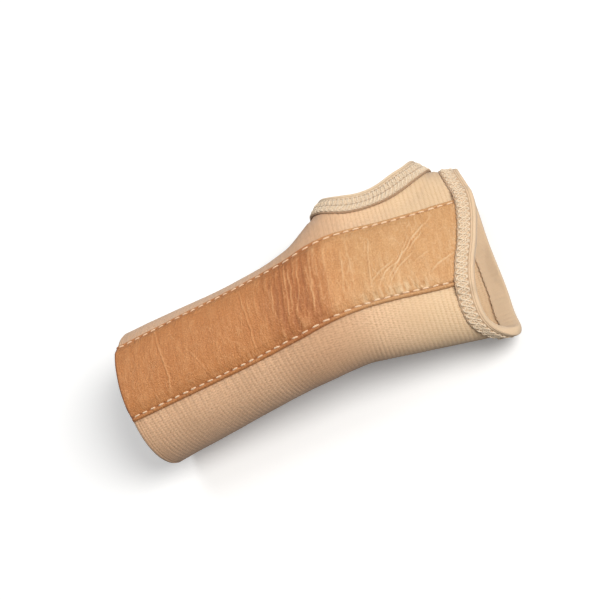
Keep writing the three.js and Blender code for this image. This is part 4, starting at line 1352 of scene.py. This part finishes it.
# ---------------------------------------------------------------- floor, light, camera
def floor_look():
    """Bright to the camera and glowing to it, more away from the middle, as painted light that
    lightens the splint's shadow; less light is thrown back up under the splint.
    """
    look = Look("pale_floor")
    seen = look.value("Is Camera Ray", "LightPath")
    position = look.value("Position", "NewGeometry")
    far = look.value("Value", "VectorMath", {0: position}, operation="LENGTH")
    colour = look.mix(seen, (0.20, 0.20, 0.20, 1), (0.985, 0.985, 0.98, 1))
    # painted light: a glow seen only by the camera, stronger away from the middle
    glow = ((far - 0.35) * 1.1).clamp() * 0.56 + 0.14
    look.set(Base_Color=colour, Roughness=0.95, Specular_IOR_Level=0.1,
             Emission_Color=(1, 1, 1, 1), Emission_Strength=seen * glow)
    return look.material


def floor(half=3.0):
    mesh = bpy.data.meshes.new("floor")
    corners = [(-half, -half, 0), (half, -half, 0), (half, half, 0), (-half, half, 0)]
    mesh.from_pydata(corners, [], [(0, 1, 2, 3)])
    plane = add_object("floor", mesh)
    mesh.materials.append(floor_look())
    # the forearm stays put, so the floor drops when the hand end bends below it
    foot = add_object("finger_edge_foot", None)
    foot.location = Vector((85.7, -13.7, 0)) * MM
    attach(foot, "hand")
    follow = plane.constraints.new("COPY_LOCATION")
    follow.target, follow.use_x, follow.use_y = foot, False, False
    stop = plane.constraints.new("LIMIT_LOCATION")
    stop.use_max_z, stop.max_z = True, 0.0


def lamp(name, direction, distance, size, energy, colour):
    """A disk lamp aimed at a point 30 mm above the origin; distance and size in metres."""
    data = bpy.data.lights.new(name, "AREA")
    data.shape, data.size, data.energy, data.color = "DISK", size, energy, colour
    obj = add_object(name, data)
    direction = Vector(direction).normalized()
    obj.location = direction * distance + Vector((0, 0, 0.03))
    obj.rotation_euler = direction.to_track_quat("Z", "Y").to_euler()


def studio_world():
    """White to the camera, gentler as a light."""
    world = bpy.data.worlds.new("studio")
    world.use_nodes = True
    tree = world.node_tree
    background = tree.nodes["Background"]
    background.inputs[0].default_value = (1.0, 1.0, 1.0, 1)
    path = tree.nodes.new("ShaderNodeLightPath")
    level = tree.nodes.new("ShaderNodeMapRange")
    level.inputs["To Min"].default_value = 0.30
    level.inputs["To Max"].default_value = 0.97
    tree.links.new(path.outputs["Is Camera Ray"], level.inputs["Value"])
    tree.links.new(level.outputs[0], background.inputs[1])
    bpy.context.scene.world = world


def camera():
    right = Vector((0.881837, -0.232547, -0.410227))
    up = Vector((0.402588, 0.824246, 0.398172))
    back = Vector((0.245534, -0.516275, 0.820472))
    target = Vector((0.003, -8.49, 34.396)) * MM
    distance = 0.7194  # metres
    data = bpy.data.cameras.new("camera")
    data.lens, data.sensor_width = 91.84, 36.0
    data.shift_x, data.shift_y = -0.01341667, 0.02471667
    data.clip_start, data.clip_end = 0.01, 20
    obj = add_object("camera", data)
    matrix = Matrix((right, up, back)).transposed().to_4x4()
    matrix.translation = target + back * distance
    obj.matrix_world = matrix
    bpy.context.scene.camera = obj


floor()
lamp("key", direction=(0.70, -0.26, 0.86), distance=1.3, size=0.85, energy=15.0,
     colour=(1.0, 0.985, 0.965))
lamp("fill", direction=(-0.25, 0.60, 0.95), distance=1.5, size=1.1, energy=6.0,
     colour=(0.98, 0.99, 1.0))
studio_world()
bpy.context.scene.view_settings.view_transform = "Standard"
camera()

bpy.context.view_layer.update()
